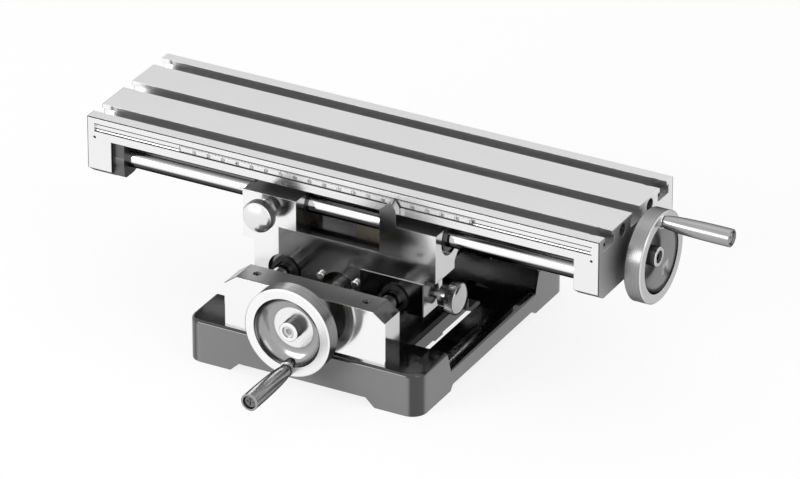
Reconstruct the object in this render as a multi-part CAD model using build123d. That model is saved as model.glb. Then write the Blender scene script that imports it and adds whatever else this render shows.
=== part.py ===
from build123d import *
import os

# Compound cross slide table, millimetres.
# X runs along the work table, Y from the front handwheel to the back, Z up.
# The origin is in the plane of the base's feet, midway between the hold-down slots.

# Base casting
BASE_WIDTH = 160.0
BASE_DEPTH = 191.0
BASE_MIDDLE_Y = -2.5
BASE_CORNER_RADIUS = 10.0
BEAM_EDGE_ROUND = 2.3
BEAM_HEIGHT = 28.0
BEAM_TOP_DEPTH = 35.5
BEAM_FOOT_DEPTH = 41.5
RIM_HEIGHT = 13.8
RIM_EDGE_ROUND = 1.2
RIM_THICKNESS = 4.5
FLOOR_HEIGHT = 10.0
FLOOR_FLARE = 18.0
FLARE_LOW_STEP = 0.9
FLARE_RIM_STEP = 0.7
FLOOR_RIB_X = 37.3
FLOOR_RIB_WIDTH = 6.1
FLOOR_RIB_HEIGHT = 2.0
BASE_SLOT_X = 47.5
BASE_SLOT_WIDTH = 10.2
BASE_SLOT_LENGTH = 68.0
BASE_SLOT_ROUND = 1.5
SLOT_PAD_WIDTH = 4.0
SLOT_PAD_GAP = 1.5
UNDERSIDE_RELIEF = 5.0
UNDERSIDE_LAND = 9.0
UNDERSIDE_RIB_WIDTH = 10.0
SIDE_ARCH_LENGTH = 111.0
SIDE_ARCH_HEIGHT = 3.4
END_ARCH_LENGTH = 99.0
END_ARCH_HEIGHT = 5.6
ARCH_SLOPE = 6.0

# Bridges that carry the Y guide rods and the Y lead screw, placed from the base's middle
BRIDGE_WIDTH = 110.0
BRIDGE_THICKNESS = 18.5
BRIDGE_TOP = 63.0
BRIDGE_OUTER_FACE = 92.0
BRIDGE_CHAMFER_X = 8.3
BRIDGE_CHAMFER_Z = 6.2
BRIDGE_EDGE_BREAK = 0.4
BRIDGE_SCREW_X = 24.0
BRIDGE_SCREW_REACH = 38.0

# Screws
BRIDGE_SCREW_RADIUS = 3.0
BRIDGE_SCREW_HEAD_RADIUS = 5.0
BRIDGE_SCREW_HEAD_BOTTOM = 2.0
BRIDGE_SCREW_HEAD_TOP = 8.0
BRIDGE_SCREW_PAD_RADIUS = 9.0
ROD_SET_SCREW_RADIUS = 2.5
ROD_CLAMP_SCREW_RADIUS = 4.0
ROD_CLAMP_HOLE_RADIUS = 5.5
SADDLE_SCREW_RADIUS = 2.5
SADDLE_SCREW_HEAD_RADIUS = 4.2
SADDLE_SCREW_HEAD_HEIGHT = 4.8
SADDLE_SCREW_SUNK = 0.2
SADDLE_SCREW_GRIP = 8.0
NUT_SCREW_RADIUS = 1.5
NUT_SCREW_HEAD_RADIUS = 2.6
NUT_SCREW_HEAD_HEIGHT = 2.4
GRUB_SCREW_RADIUS = 2.0
HEAD_CLEARANCE = 0.1
SOCKET_DEPTH = 2.5

# Guide rods
ROD_RADIUS = 6.0
ROD_EDGE_BREAK = 0.8
Y_ROD_X = 37.4
Y_ROD_Z = 49.0
Y_ROD_FRONT_END = -89.5
Y_ROD_REAR_END = 88.5
X_ROD_Y = 36.0
X_ROD_Z = 89.5
X_ROD_LEFT_END = -174.0
X_ROD_RIGHT_END = 171.5

# Lead screws, 2 mm pitch
LEAD_SCREW_RADIUS = 5.0
JOURNAL_RADIUS = 4.0
Y_SCREW_Z = 46.5
X_SCREW_Z = 90.0
THRUST_COLLAR_RADIUS = 7.3
THRUST_COLLAR_WIDTH = 7.0
THRUST_COLLAR_EDGE = 0.6
COLLAR_GAP = 0.1
SCREW_BUSH_RADIUS = 8.0
SCREW_BUSH_FLANGE_RADIUS = 11.0
Y_BUSH_FLANGE = 6.2
X_BUSH_FLANGE = 2.0

# Rest positions: the saddle sits a little behind the middle, the table a little left
SADDLE_Y = 3.0
TABLE_X = -3.0

# Saddle, about its own centre
SADDLE_HALF_WIDTH = 66.1
SADDLE_FRONT = 54.5
SADDLE_TOP = 98.0
SADDLE_JOINT = 66.0
SADDLE_BOTTOM = 41.0
HEAD_INNER = 21.0
NECK_INNER = 30.5
HEAD_UNDERSIDE = 82.0
NECK_TOP = 71.0
LOWER_HALF_WIDTH = 58.5
RECESS_LEFT = -29.3
RECESS_RIGHT = 27.8
WEB_TOP = 78.0
WEB_BOTTOM = 62.0
POINTER_RIGHT = 38.9
POINTER_THICKNESS = 5.0
POINTER_APEX_X = 35.5
POINTER_APEX_Z = 113.8
POINTER_LEFT_SHOULDER = 107.3
POINTER_RIGHT_SHOULDER = 108.6

# Bushes around the guide rods
BUSH_OUTER_RADIUS = 9.0
BUSH_LENGTH = 12.0
BUSH_SETBACK = 0.5
BUSH_GROOVE_RADIUS = 11.4
BUSH_GROOVE_DEPTH = 3.0
RELIEF_BORE_RADIUS = 6.5
INNER_BUSH_LENGTH = 6.0

# Clamp block for the right front Y rod bearing
CLAMP_BLOCK_LEFT = 14.6
CLAMP_BLOCK_RIGHT = 57.8
CLAMP_BLOCK_TOP = 64.0

# Feed nuts
Y_NUT_BORE_RADIUS = 11.0
Y_NUT_BARREL_LENGTH = 12.0
Y_NUT_FLANGE_RADIUS = 16.0
Y_NUT_FLANGE_WIDTH = 4.0
Y_NUT_SCREW_X = 11.9
Y_NUT_SCREW_Z = 52.8
X_NUT_LENGTH = 26.0
X_NUT_WIDTH = 28.0
X_NUT_TOP = 100.0
X_NUT_CORNER = 2.0
X_NUT_SCREW_Y = 9.5

# Table casting, about its own centre
TABLE_LENGTH = 350.0
TABLE_WIDTH = 98.0
TABLE_TOP = 118.0
PLATE_THICKNESS = 14.5
SLOT_PITCH = 36.0
SLOT_NECK_WIDTH = 10.0
SLOT_LIP = 2.7
SLOT_HEAD_WIDTH = 14.8
SLOT_DEPTH = 8.7
LEG_THICKNESS = 16.5
LEG_BOTTOM = 78.0
LEG_FRONT_BOTTOM = 83.0
LEG_CHAMFER_DEPTH = 6.5
LEG_ROOT = 6.0
LUG_REACH = 7.5
LUG_SETBACK = 3.0
LUG_BOTTOM = 79.0
ROD_SCREW_INSET = 8.5
ROD_POCKET_DEPTH = 4.5
END_HOLE_Y = 18.0
END_HOLE_Z = 112.6
END_HOLE_RADIUS = 4.25
END_HOLE_DEPTH = 14.0
GROOVE_LEFT = -170.0
GROOVE_RIGHT = 169.5
GROOVE_TOP = 113.5
GROOVE_BOTTOM = 109.0
GROOVE_DEPTH = 1.5
RULER_LEFT = -110.5
RULER_LENGTH = 200.5
RULER_HEIGHT = 4.3
RULER_THICKNESS = 0.9
RAIL_PIN_RADIUS = 0.9
RAIL_PIN_X = 170.0
RAIL_PIN_Z = 104.6
RAIL_PIN_DEPTH = 8.0

# Handwheels
WHEEL_RADIUS = 29.0
WHEEL_RIM_WIDTH = 11.0
WHEEL_EDGE_BREAK = 0.8
WHEEL_RIM_INNER = 22.7
WHEEL_DISH_RADIUS = 13.3
WHEEL_DISH_DEPTH = 8.6
WHEEL_BACK_BOSS_RADIUS = 9.5
WHEEL_STANDOFF = 15.2
WHEEL_HUB_RADIUS = 6.2
WHEEL_HUB_SETBACK = 1.5
WHEEL_SCREW_HEAD_RADIUS = 3.8
WHEEL_SCREW_SUNK = 1.2
WHEEL_SCREW_HEAD_HEIGHT = 3.6
WHEEL_SCREW_RADIUS = 2.0
WHEEL_SCREW_GRIP = 8.4
HANDLE_RADIUS_ON_WHEEL = 24.5
HANDLE_BOSS_RADIUS = 4.9
HANDLE_LENGTH = 46.0
HANDLE_START = 1.6
HANDLE_SMALL_RADIUS = 3.8
HANDLE_MIDDLE_RADIUS = 5.2
HANDLE_LARGE_RADIUS = 5.6
HANDLE_MIDDLE_SHARE = 0.36
HANDLE_LARGE_SHARE = 0.82
SPINDLE_RADIUS = 2.0
SPINDLE_HEAD_RADIUS = 4.1
SPINDLE_HEAD_SUNK = 1.4
SPINDLE_HEAD_HEIGHT = 2.0
Y_WHEEL_FACE = -116.0
X_WHEEL_FACE = 192.3

# Lock knobs
KNOB_RADIUS = 10.25
KNOB_STANDOFF = 3.0
KNOB_GRIP_START = 8.6
KNOB_DOME_START = 14.8
KNOB_FACE = 17.6
KNOB_NECK_RADIUS = 7.0
KNOB_EDGE_BREAK = 0.6
LOCK_THREAD_RADIUS = 3.0
LOCK_PAD_LENGTH = 4.0
LOCK_PAD_GAP = 0.35
X_LOCK_X = -48.0
Y_LOCK_Y = -36.0

# Fits
RUNNING = 0.05
SEATED = 0.01
EDGE_BREAK = 0.5


def block(x_low, x_high, y_low, y_high, z_low, z_high):
    """An axis-aligned block between two corners."""
    size = (x_high - x_low, y_high - y_low, z_high - z_low)
    middle = ((x_low + x_high) / 2, (y_low + y_high) / 2, (z_low + z_high) / 2)
    return Pos(*middle) * Box(*size)


def rod_x(radius, x_low, x_high, y, z):
    """A round bar along X."""
    return Pos((x_low + x_high) / 2, y, z) * Rot(0, 90, 0) * Cylinder(radius, x_high - x_low)


def rod_y(radius, y_low, y_high, x, z):
    """A round bar along Y."""
    return Pos(x, (y_low + y_high) / 2, z) * Rot(90, 0, 0) * Cylinder(radius, y_high - y_low)


def rod_z(radius, z_low, z_high, x, y):
    """A round bar along Z."""
    return Pos(x, y, (z_low + z_high) / 2) * Cylinder(radius, z_high - z_low)


def hex_z(radius, z_low, z_high, x, y):
    """A hexagonal socket along Z."""
    return Pos(x, y, z_low) * extrude(RegularPolygon(radius, 6), z_high - z_low)


def prism_x(points, x_low, x_high):
    """A (y, z) outline extruded along X."""
    outline = make_face(Polyline(*[(0, y, z) for y, z in points], close=True))
    return Pos(x_low, 0, 0) * extrude(outline, x_high - x_low, dir=(1, 0, 0))


def prism_y(points, y_low, y_high):
    """An (x, z) outline extruded along Y."""
    outline = make_face(Polyline(*[(x, 0, z) for x, z in points], close=True))
    return Pos(0, y_low, 0) * extrude(outline, y_high - y_low, dir=(0, 1, 0))


def turned(points):
    """A (radius, height) outline turned about Z."""
    outline = make_face(Polyline(*[(r, 0, h) for r, h in points], close=True))
    return revolve(outline, Axis.Z)


def turned_face(outline):
    """A flat outline of radius and height turned about Z."""
    return revolve(Plane.XZ * outline, Axis.Z)


def facing_front(shape, x, y, z):
    """Turn a shape made along +Z so that it points to the front, and place it."""
    return Pos(x, y, z) * Rot(90, 0, 0) * shape


def facing_right(shape, x, y, z):
    """Turn a shape made along +Z so that it points to the right, and place it."""
    return Pos(x, y, z) * Rot(0, 90, 0) * shape


# Base group

def bridge_faces(sign):
    """The inner and outer face of the front bridge for sign -1, of the rear one for sign 1."""
    outer = BASE_MIDDLE_Y + sign * BRIDGE_OUTER_FACE
    return outer - sign * BRIDGE_THICKNESS, outer


def bridge_centre(sign):
    return sum(bridge_faces(sign)) / 2


def beam_profile(rim_y, beam_y, half_d):
    """The (y, z) side view: a high beam at each end and a low rim between."""
    return [
        (-half_d, 0), (half_d, 0), (half_d, BEAM_HEIGHT), (beam_y, BEAM_HEIGHT),
        (rim_y, RIM_HEIGHT), (-rim_y, RIM_HEIGHT), (-beam_y, BEAM_HEIGHT), (-half_d, BEAM_HEIGHT),
    ]


def arch(length, slope, height):
    """The outline of a shallow opening between two feet."""
    half = length / 2
    return [(-half, -1), (-half, 0), (-half + slope, height), (half - slope, height), (half, 0), (half, -1)]


def floor_flare(sign, inner_x, foot_y):
    """The curved rise from the tray's floor to the side rim."""
    wall = sign * inner_x
    toe = wall - sign * FLOOR_FLARE
    middle = wall - sign * FLOOR_FLARE * 0.35
    rim_z = RIM_HEIGHT - FLARE_RIM_STEP
    curve = ThreePointArc(
        (wall, 0, rim_z), (middle, 0, FLOOR_HEIGHT + FLARE_LOW_STEP), (toe, 0, FLOOR_HEIGHT)
    )
    rest = Polyline(
        (toe, 0, FLOOR_HEIGHT), (toe, 0, FLOOR_HEIGHT - 1), (wall + sign, 0, FLOOR_HEIGHT - 1),
        (wall + sign, 0, rim_z), (wall, 0, rim_z),
    )
    return Pos(0, -foot_y - 1, 0) * extrude(make_face(curve + rest), 2 * foot_y + 2, dir=(0, 1, 0))


def underside_relief():
    """The hollow between the feet, round the slots' pads, the screw pads and the middle rib."""
    relief = Pos(0, 0, UNDERSIDE_RELIEF / 2) * Box(
        BASE_WIDTH - 2 * UNDERSIDE_LAND, BASE_DEPTH - 2 * UNDERSIDE_LAND, UNDERSIDE_RELIEF
    )
    relief = fillet(relief.edges().filter_by(Axis.Z), BASE_CORNER_RADIUS - 2)
    rib = UNDERSIDE_RIB_WIDTH / 2
    relief -= block(-BASE_SLOT_X, BASE_SLOT_X, -rib, rib, -1, UNDERSIDE_RELIEF + 1)
    pad = BASE_SLOT_WIDTH / 2 + SLOT_PAD_WIDTH
    pad_half = BASE_SLOT_LENGTH / 2 + SLOT_PAD_WIDTH
    for sign in (-1, 1):
        slot_x = sign * BASE_SLOT_X
        slot_y = -BASE_MIDDLE_Y
        relief -= block(
            slot_x - pad, slot_x + pad, slot_y - pad_half, slot_y + pad_half,
            SLOT_PAD_GAP, UNDERSIDE_RELIEF + 1,
        )
        for screw_x in (-BRIDGE_SCREW_X, BRIDGE_SCREW_X):
            screw_y = sign * (BRIDGE_OUTER_FACE - BRIDGE_THICKNESS / 2)
            relief -= rod_z(BRIDGE_SCREW_PAD_RADIUS, -1, UNDERSIDE_RELIEF + 1, screw_x, screw_y)
    return relief


def base_casting():
    half_w = BASE_WIDTH / 2
    half_d = BASE_DEPTH / 2
    beam_y = half_d - BEAM_TOP_DEPTH
    foot_y = half_d - BEAM_FOOT_DEPTH
    slope = (beam_y - foot_y) / (BEAM_HEIGHT - FLOOR_HEIGHT)
    rim_y = foot_y + slope * (RIM_HEIGHT - FLOOR_HEIGHT)
    body = prism_x(beam_profile(rim_y, beam_y, half_d), -half_w, half_w)
    upright = body.edges().filter_by(Axis.Z)
    corners = upright.filter_by(lambda e: abs(abs(e.center().Y) - half_d) < 0.1)
    body = fillet(corners, BASE_CORNER_RADIUS)
    level = body.faces().filter_by(Axis.Z)
    beam_tops = level.filter_by(lambda f: f.center().Z > BEAM_HEIGHT - 1)
    outer = [
        e for f in beam_tops for e in f.edges()
        if abs(e.center().X) > half_w - 4 or abs(e.center().Y) > half_d - 4
    ]
    body = fillet(outer, BEAM_EDGE_ROUND)
    rim_edges = body.edges().filter_by(Axis.Y).filter_by(lambda e: abs(e.center().Z - RIM_HEIGHT) < 0.1)
    body = fillet(rim_edges, RIM_EDGE_ROUND)

    inner_x = half_w - RIM_THICKNESS
    above = 2.0
    tray = [
        (-foot_y, FLOOR_HEIGHT), (foot_y, FLOOR_HEIGHT), (beam_y + slope * above, BEAM_HEIGHT + above),
        (-beam_y - slope * above, BEAM_HEIGHT + above),
    ]
    body -= prism_x(tray, -inner_x, inner_x)
    for sign in (-1, 1):
        body += floor_flare(sign, inner_x, foot_y)
        rib_x = sign * FLOOR_RIB_X
        body += block(
            rib_x - FLOOR_RIB_WIDTH / 2, rib_x + FLOOR_RIB_WIDTH / 2, -foot_y - 0.6, foot_y + 0.6,
            FLOOR_HEIGHT - 1, FLOOR_HEIGHT + FLOOR_RIB_HEIGHT,
        )
    body -= underside_relief()

    side_arch = arch(SIDE_ARCH_LENGTH, ARCH_SLOPE / 2, SIDE_ARCH_HEIGHT)
    end_arch = arch(END_ARCH_LENGTH, ARCH_SLOPE, END_ARCH_HEIGHT)
    cut = UNDERSIDE_LAND + 2
    for sign in (-1, 1):
        slot_x = sign * BASE_SLOT_X
        slot = block(
            slot_x - BASE_SLOT_WIDTH / 2, slot_x + BASE_SLOT_WIDTH / 2,
            -BASE_SLOT_LENGTH / 2, BASE_SLOT_LENGTH / 2, -1, FLOOR_HEIGHT + 5,
        )
        slot = fillet(slot.edges().filter_by(Axis.Z), BASE_SLOT_ROUND)
        body -= Pos(0, -BASE_MIDDLE_Y, 0) * slot
        side_low = min(sign * (half_w + 1), sign * (half_w - UNDERSIDE_LAND - 1))
        body -= prism_x(side_arch, side_low, side_low + cut)
        end_low = min(sign * (half_d + 1), sign * (half_d - UNDERSIDE_LAND - 1))
        body -= prism_y(end_arch, end_low, end_low + cut)
        for screw_x in (-BRIDGE_SCREW_X, BRIDGE_SCREW_X):
            screw_y = sign * (BRIDGE_OUTER_FACE - BRIDGE_THICKNESS / 2)
            body -= rod_z(BRIDGE_SCREW_RADIUS + SEATED, -1, BEAM_HEIGHT + 1, screw_x, screw_y)
            head_hole = BRIDGE_SCREW_HEAD_RADIUS + 2 * HEAD_CLEARANCE
            body -= rod_z(head_hole, -1, BRIDGE_SCREW_HEAD_TOP, screw_x, screw_y)
    return Pos(0, BASE_MIDDLE_Y, 0) * body


def rod_bridge(sign):
    """The front bridge for sign -1, the rear one for sign 1."""
    inner, outer = bridge_faces(sign)
    centre = bridge_centre(sign)
    half = BRIDGE_WIDTH / 2
    outline = [
        (-half, BEAM_HEIGHT), (half, BEAM_HEIGHT), (half, BRIDGE_TOP - BRIDGE_CHAMFER_Z),
        (half - BRIDGE_CHAMFER_X, BRIDGE_TOP), (-half + BRIDGE_CHAMFER_X, BRIDGE_TOP),
        (-half, BRIDGE_TOP - BRIDGE_CHAMFER_Z),
    ]
    body = prism_y(outline, min(inner, outer), max(inner, outer))
    rims = body.edges().filter_by(Plane.XZ)
    body = chamfer(rims.filter_by(lambda e: e.center().Z > BEAM_HEIGHT + 1), BRIDGE_EDGE_BREAK)
    rod_end = Y_ROD_FRONT_END if sign < 0 else outer + 1
    rod_low = min(rod_end, inner - sign)
    rod_high = max(rod_end, inner - sign)
    for x in (-Y_ROD_X, Y_ROD_X):
        body -= rod_y(ROD_RADIUS + SEATED, rod_low, rod_high, x, Y_ROD_Z)
        body -= rod_z(ROD_SET_SCREW_RADIUS + SEATED, Y_ROD_Z, BRIDGE_TOP + 1, x, centre)
    low, high = min(inner, outer) - 1, max(inner, outer) + 1
    body -= rod_y(SCREW_BUSH_RADIUS + SEATED, low, high, 0, Y_SCREW_Z)
    for x in (-BRIDGE_SCREW_X, BRIDGE_SCREW_X):
        body -= rod_z(BRIDGE_SCREW_RADIUS + SEATED, BEAM_HEIGHT - 1, BRIDGE_SCREW_REACH + 2, x, centre)
    return body


def cap_screw_up(radius, head_radius, z_head_low, z_head_high, z_tip, x, y):
    """A socket cap screw put in from below."""
    screw = rod_z(head_radius, z_head_low, z_head_high, x, y) + rod_z(radius, z_head_high, z_tip, x, y)
    return screw - hex_z(head_radius * 0.5, z_head_low - 1, z_head_low + SOCKET_DEPTH, x, y)


def bridge_screws():
    return [
        cap_screw_up(
            BRIDGE_SCREW_RADIUS, BRIDGE_SCREW_HEAD_RADIUS, BRIDGE_SCREW_HEAD_BOTTOM,
            BRIDGE_SCREW_HEAD_TOP, BRIDGE_SCREW_REACH, x, bridge_centre(sign),
        )
        for x in (-BRIDGE_SCREW_X, BRIDGE_SCREW_X)
        for sign in (-1, 1)
    ]


def y_guide_rod(x):
    rod = rod_y(ROD_RADIUS, Y_ROD_FRONT_END + SEATED, Y_ROD_REAR_END, x, Y_ROD_Z)
    return chamfer(rod.edges().filter_by(GeomType.CIRCLE), ROD_EDGE_BREAK)


def set_screw_down(radius, z_low, z_high, x, y):
    """A socket set screw seen from above."""
    return rod_z(radius, z_low, z_high, x, y) - hex_z(radius * 0.55, z_high - radius, z_high + 1, x, y)


def rod_set_screws():
    top = BRIDGE_TOP - 0.8
    return [
        set_screw_down(ROD_SET_SCREW_RADIUS, Y_ROD_Z + ROD_RADIUS, top, x, bridge_centre(sign))
        for x in (-Y_ROD_X, Y_ROD_X)
        for sign in (-1, 1)
    ]


def y_screw_bush(sign):
    """A flanged bush in the front bridge for sign -1, a plain one in the rear bridge for sign 1."""
    inner, outer = bridge_faces(sign)
    if sign > 0:
        body = rod_y(SCREW_BUSH_RADIUS, inner, outer, 0, Y_SCREW_Z)
        return body - rod_y(JOURNAL_RADIUS + RUNNING, inner - 1, outer + 1, 0, Y_SCREW_Z)
    mouth = outer - Y_BUSH_FLANGE
    body = rod_y(SCREW_BUSH_RADIUS, outer, inner, 0, Y_SCREW_Z)
    body += rod_y(SCREW_BUSH_FLANGE_RADIUS, mouth, outer, 0, Y_SCREW_Z)
    return body - rod_y(LEAD_SCREW_RADIUS + RUNNING, mouth - 1, inner + 1, 0, Y_SCREW_Z)


# Saddle group, placed with the saddle's rest offset

def saddle_casting():
    front = SADDLE_FRONT
    wall = [
        (-front, SADDLE_JOINT), (-front, SADDLE_TOP), (-HEAD_INNER, SADDLE_TOP),
        (-HEAD_INNER, HEAD_UNDERSIDE), (-NECK_INNER, NECK_TOP), (-NECK_INNER, SADDLE_JOINT),
    ]
    upper = prism_x(wall, -SADDLE_HALF_WIDTH, SADDLE_HALF_WIDTH)
    lower = block(
        -LOWER_HALF_WIDTH, LOWER_HALF_WIDTH, -front, -NECK_INNER, SADDLE_BOTTOM, SADDLE_JOINT
    )
    half = upper + lower
    body = half + mirror(half, about=Plane.XZ)
    body += block(RECESS_LEFT, RECESS_RIGHT, -NECK_INNER - 1, NECK_INNER + 1, WEB_BOTTOM, WEB_TOP)
    body -= block(RECESS_LEFT, RECESS_RIGHT, -front - 1, front + 1, WEB_TOP, SADDLE_TOP + 1)
    pointer = [
        (RECESS_RIGHT, SADDLE_JOINT + 2), (POINTER_RIGHT, SADDLE_JOINT + 2),
        (POINTER_RIGHT, POINTER_RIGHT_SHOULDER), (POINTER_APEX_X, POINTER_APEX_Z),
        (RECESS_RIGHT, POINTER_LEFT_SHOULDER),
    ]
    body += prism_y(pointer, -front, -front + POINTER_THICKNESS)
    body -= block(
        CLAMP_BLOCK_LEFT, LOWER_HALF_WIDTH + 1, -front - 1, -NECK_INNER + 1, SADDLE_BOTTOM - 1,
        CLAMP_BLOCK_TOP,
    )
    for bore_y in (-X_ROD_Y, X_ROD_Y):
        body -= rod_x(RELIEF_BORE_RADIUS, -80, 80, bore_y, X_ROD_Z)
        for low, high, side in x_bush_spans():
            mouth_low, mouth_high = low + min(side, 0), high + max(side, 0)
            body -= rod_x(BUSH_OUTER_RADIUS + SEATED, mouth_low, mouth_high, bore_y, X_ROD_Z)
        for sign in (-1, 1):
            end = sign * SADDLE_HALF_WIDTH
            groove = end - sign * BUSH_GROOVE_DEPTH
            low, high = min(groove, end + sign), max(groove, end + sign)
            body -= rod_x(BUSH_GROOVE_RADIUS, low, high, bore_y, X_ROD_Z)
    for bore_x in (-Y_ROD_X, Y_ROD_X):
        body -= rod_bearing_bore(bore_x, -1)
        body -= rod_bearing_bore(bore_x, 1)
    for sign in (-1, 1):
        low = min(sign * (front + 1), sign * (NECK_INNER - 1))
        body -= rod_y(Y_NUT_BORE_RADIUS, low, low + front - NECK_INNER + 2, 0, Y_SCREW_Z)
    for x in (-Y_NUT_SCREW_X, Y_NUT_SCREW_X):
        body -= rod_y(NUT_SCREW_RADIUS + SEATED, -front - 1, -NECK_INNER + 1, x, Y_NUT_SCREW_Z)
    head_top = WEB_BOTTOM + SADDLE_SCREW_SUNK + SADDLE_SCREW_HEAD_HEIGHT
    for y in (-X_NUT_SCREW_Y, X_NUT_SCREW_Y):
        body -= rod_z(SADDLE_SCREW_RADIUS + SEATED, WEB_BOTTOM - 1, WEB_TOP + 1, 0, y)
        body -= rod_z(SADDLE_SCREW_HEAD_RADIUS + HEAD_CLEARANCE, WEB_BOTTOM - 1, head_top, 0, y)
    for x, y in clamp_screw_places():
        top = CLAMP_BLOCK_TOP + SADDLE_SCREW_GRIP + 1
        body -= rod_z(SADDLE_SCREW_RADIUS + SEATED, CLAMP_BLOCK_TOP - 1, top, x, y)
    body -= rod_y(LOCK_THREAD_RADIUS, -front - 1, -X_ROD_Y, X_LOCK_X, X_ROD_Z)
    return body


def x_bush_spans():
    """Low end, high end and open side of the bushes at the outer faces and at the recess walls."""
    outer = SADDLE_HALF_WIDTH - BUSH_SETBACK
    return [
        (-outer, BUSH_LENGTH - outer, -1), (outer - BUSH_LENGTH, outer, 1),
        (RECESS_LEFT - INNER_BUSH_LENGTH, RECESS_LEFT, 1),
        (RECESS_RIGHT, RECESS_RIGHT + INNER_BUSH_LENGTH, -1),
    ]


def rod_bearing_bore(x, sign):
    """The stepped bore for one Y rod bearing, at the front for sign -1."""
    face = sign * SADDLE_FRONT
    seat = face - sign * (BUSH_LENGTH + BUSH_SETBACK)
    groove = face - sign * BUSH_GROOVE_DEPTH
    inner = sign * (NECK_INNER - 1)
    bore = rod_y(RELIEF_BORE_RADIUS, min(inner, face), max(inner, face), x, Y_ROD_Z)
    bore += rod_y(BUSH_OUTER_RADIUS + SEATED, min(seat, face + sign), max(seat, face + sign), x, Y_ROD_Z)
    bore += rod_y(BUSH_GROOVE_RADIUS, min(groove, face + sign), max(groove, face + sign), x, Y_ROD_Z)
    return bore


def clamp_screw_places():
    return [(20.5, -42.5), (53.0, -47.5)]


def clamp_block():
    body = block(
        CLAMP_BLOCK_LEFT, CLAMP_BLOCK_RIGHT, -SADDLE_FRONT, -NECK_INNER, SADDLE_BOTTOM,
        CLAMP_BLOCK_TOP,
    )
    front_face = body.faces().sort_by(Axis.Y)[0]
    body = chamfer(front_face.edges(), EDGE_BREAK)
    body -= rod_bearing_bore(Y_ROD_X, -1)
    body -= rod_x(LOCK_THREAD_RADIUS, Y_ROD_X, CLAMP_BLOCK_RIGHT + 1, Y_LOCK_Y, Y_ROD_Z)
    head_top = SADDLE_BOTTOM + SADDLE_SCREW_SUNK + SADDLE_SCREW_HEAD_HEIGHT
    for x, y in clamp_screw_places():
        body -= rod_z(SADDLE_SCREW_RADIUS + SEATED, SADDLE_BOTTOM - 1, CLAMP_BLOCK_TOP + 1, x, y)
        body -= rod_z(SADDLE_SCREW_HEAD_RADIUS + HEAD_CLEARANCE, SADDLE_BOTTOM - 1, head_top, x, y)
    return body


def saddle_screw_up(seat, tip, x, y):
    """A cap screw from below, its head just inside the face at the seat height."""
    low = seat + SADDLE_SCREW_SUNK
    high = low + SADDLE_SCREW_HEAD_HEIGHT
    return cap_screw_up(SADDLE_SCREW_RADIUS, SADDLE_SCREW_HEAD_RADIUS, low, high, tip, x, y)


def clamp_block_screws():
    tip = CLAMP_BLOCK_TOP + SADDLE_SCREW_GRIP
    return [saddle_screw_up(SADDLE_BOTTOM, tip, x, y) for x, y in clamp_screw_places()]


def y_rod_bushes():
    bushes = []
    for x in (-Y_ROD_X, Y_ROD_X):
        for sign in (-1, 1):
            end = sign * (SADDLE_FRONT - BUSH_SETBACK)
            start = end - sign * BUSH_LENGTH
            bush = rod_y(BUSH_OUTER_RADIUS, min(start, end), max(start, end), x, Y_ROD_Z)
            bushes.append(bush - rod_y(ROD_RADIUS + RUNNING, -80, 80, x, Y_ROD_Z))
    return bushes


def x_rod_bushes():
    bushes = []
    for y in (-X_ROD_Y, X_ROD_Y):
        for low, high, _ in x_bush_spans():
            bush = rod_x(BUSH_OUTER_RADIUS, low, high, y, X_ROD_Z)
            bushes.append(bush - rod_x(ROD_RADIUS + RUNNING, -90, 90, y, X_ROD_Z))
    return bushes


def y_feed_nut():
    barrel_front = -NECK_INNER - Y_NUT_BARREL_LENGTH
    body = rod_y(Y_NUT_BORE_RADIUS - SEATED, barrel_front, -NECK_INNER, 0, Y_SCREW_Z)
    body += rod_y(Y_NUT_FLANGE_RADIUS, -NECK_INNER, -NECK_INNER + Y_NUT_FLANGE_WIDTH, 0, Y_SCREW_Z)
    body &= block(-40, 40, -60, 0, SADDLE_BOTTOM, WEB_BOTTOM - 0.5)
    for x in (-Y_NUT_SCREW_X, Y_NUT_SCREW_X):
        body -= rod_y(NUT_SCREW_RADIUS + SEATED, -40, 0, x, Y_NUT_SCREW_Z)
    return body - rod_y(LEAD_SCREW_RADIUS + RUNNING, -60, 0, 0, Y_SCREW_Z)


def y_nut_screws():
    screws = []
    for x in (-Y_NUT_SCREW_X, Y_NUT_SCREW_X):
        head_front = -SADDLE_FRONT - NUT_SCREW_HEAD_HEIGHT
        head = rod_y(NUT_SCREW_HEAD_RADIUS, head_front, -SADDLE_FRONT, x, Y_NUT_SCREW_Z)
        head = fillet(head.edges().sort_by(Axis.Y)[0], 0.8)
        shank_end = -NECK_INNER + Y_NUT_FLANGE_WIDTH
        screws.append(head + rod_y(NUT_SCREW_RADIUS, -SADDLE_FRONT, shank_end, x, Y_NUT_SCREW_Z))
    return screws


def x_feed_nut():
    half_l, half_w = X_NUT_LENGTH / 2, X_NUT_WIDTH / 2
    body = block(-half_l, half_l, -half_w, half_w, WEB_TOP, X_NUT_TOP)
    body = chamfer(body.edges().filter_by(Axis.Z), X_NUT_CORNER)
    body -= rod_x(LEAD_SCREW_RADIUS + RUNNING, -20, 20, 0, X_SCREW_Z)
    for y in (-X_NUT_SCREW_Y, X_NUT_SCREW_Y):
        body -= rod_z(SADDLE_SCREW_RADIUS + SEATED, WEB_TOP - 1, WEB_TOP + SADDLE_SCREW_GRIP + 1, 0, y)
    return body


def x_nut_screws():
    tip = WEB_TOP + SADDLE_SCREW_GRIP
    return [saddle_screw_up(WEB_BOTTOM, tip, 0, y) for y in (-X_NUT_SCREW_Y, X_NUT_SCREW_Y)]


# Table group, placed with both rest offsets

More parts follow.
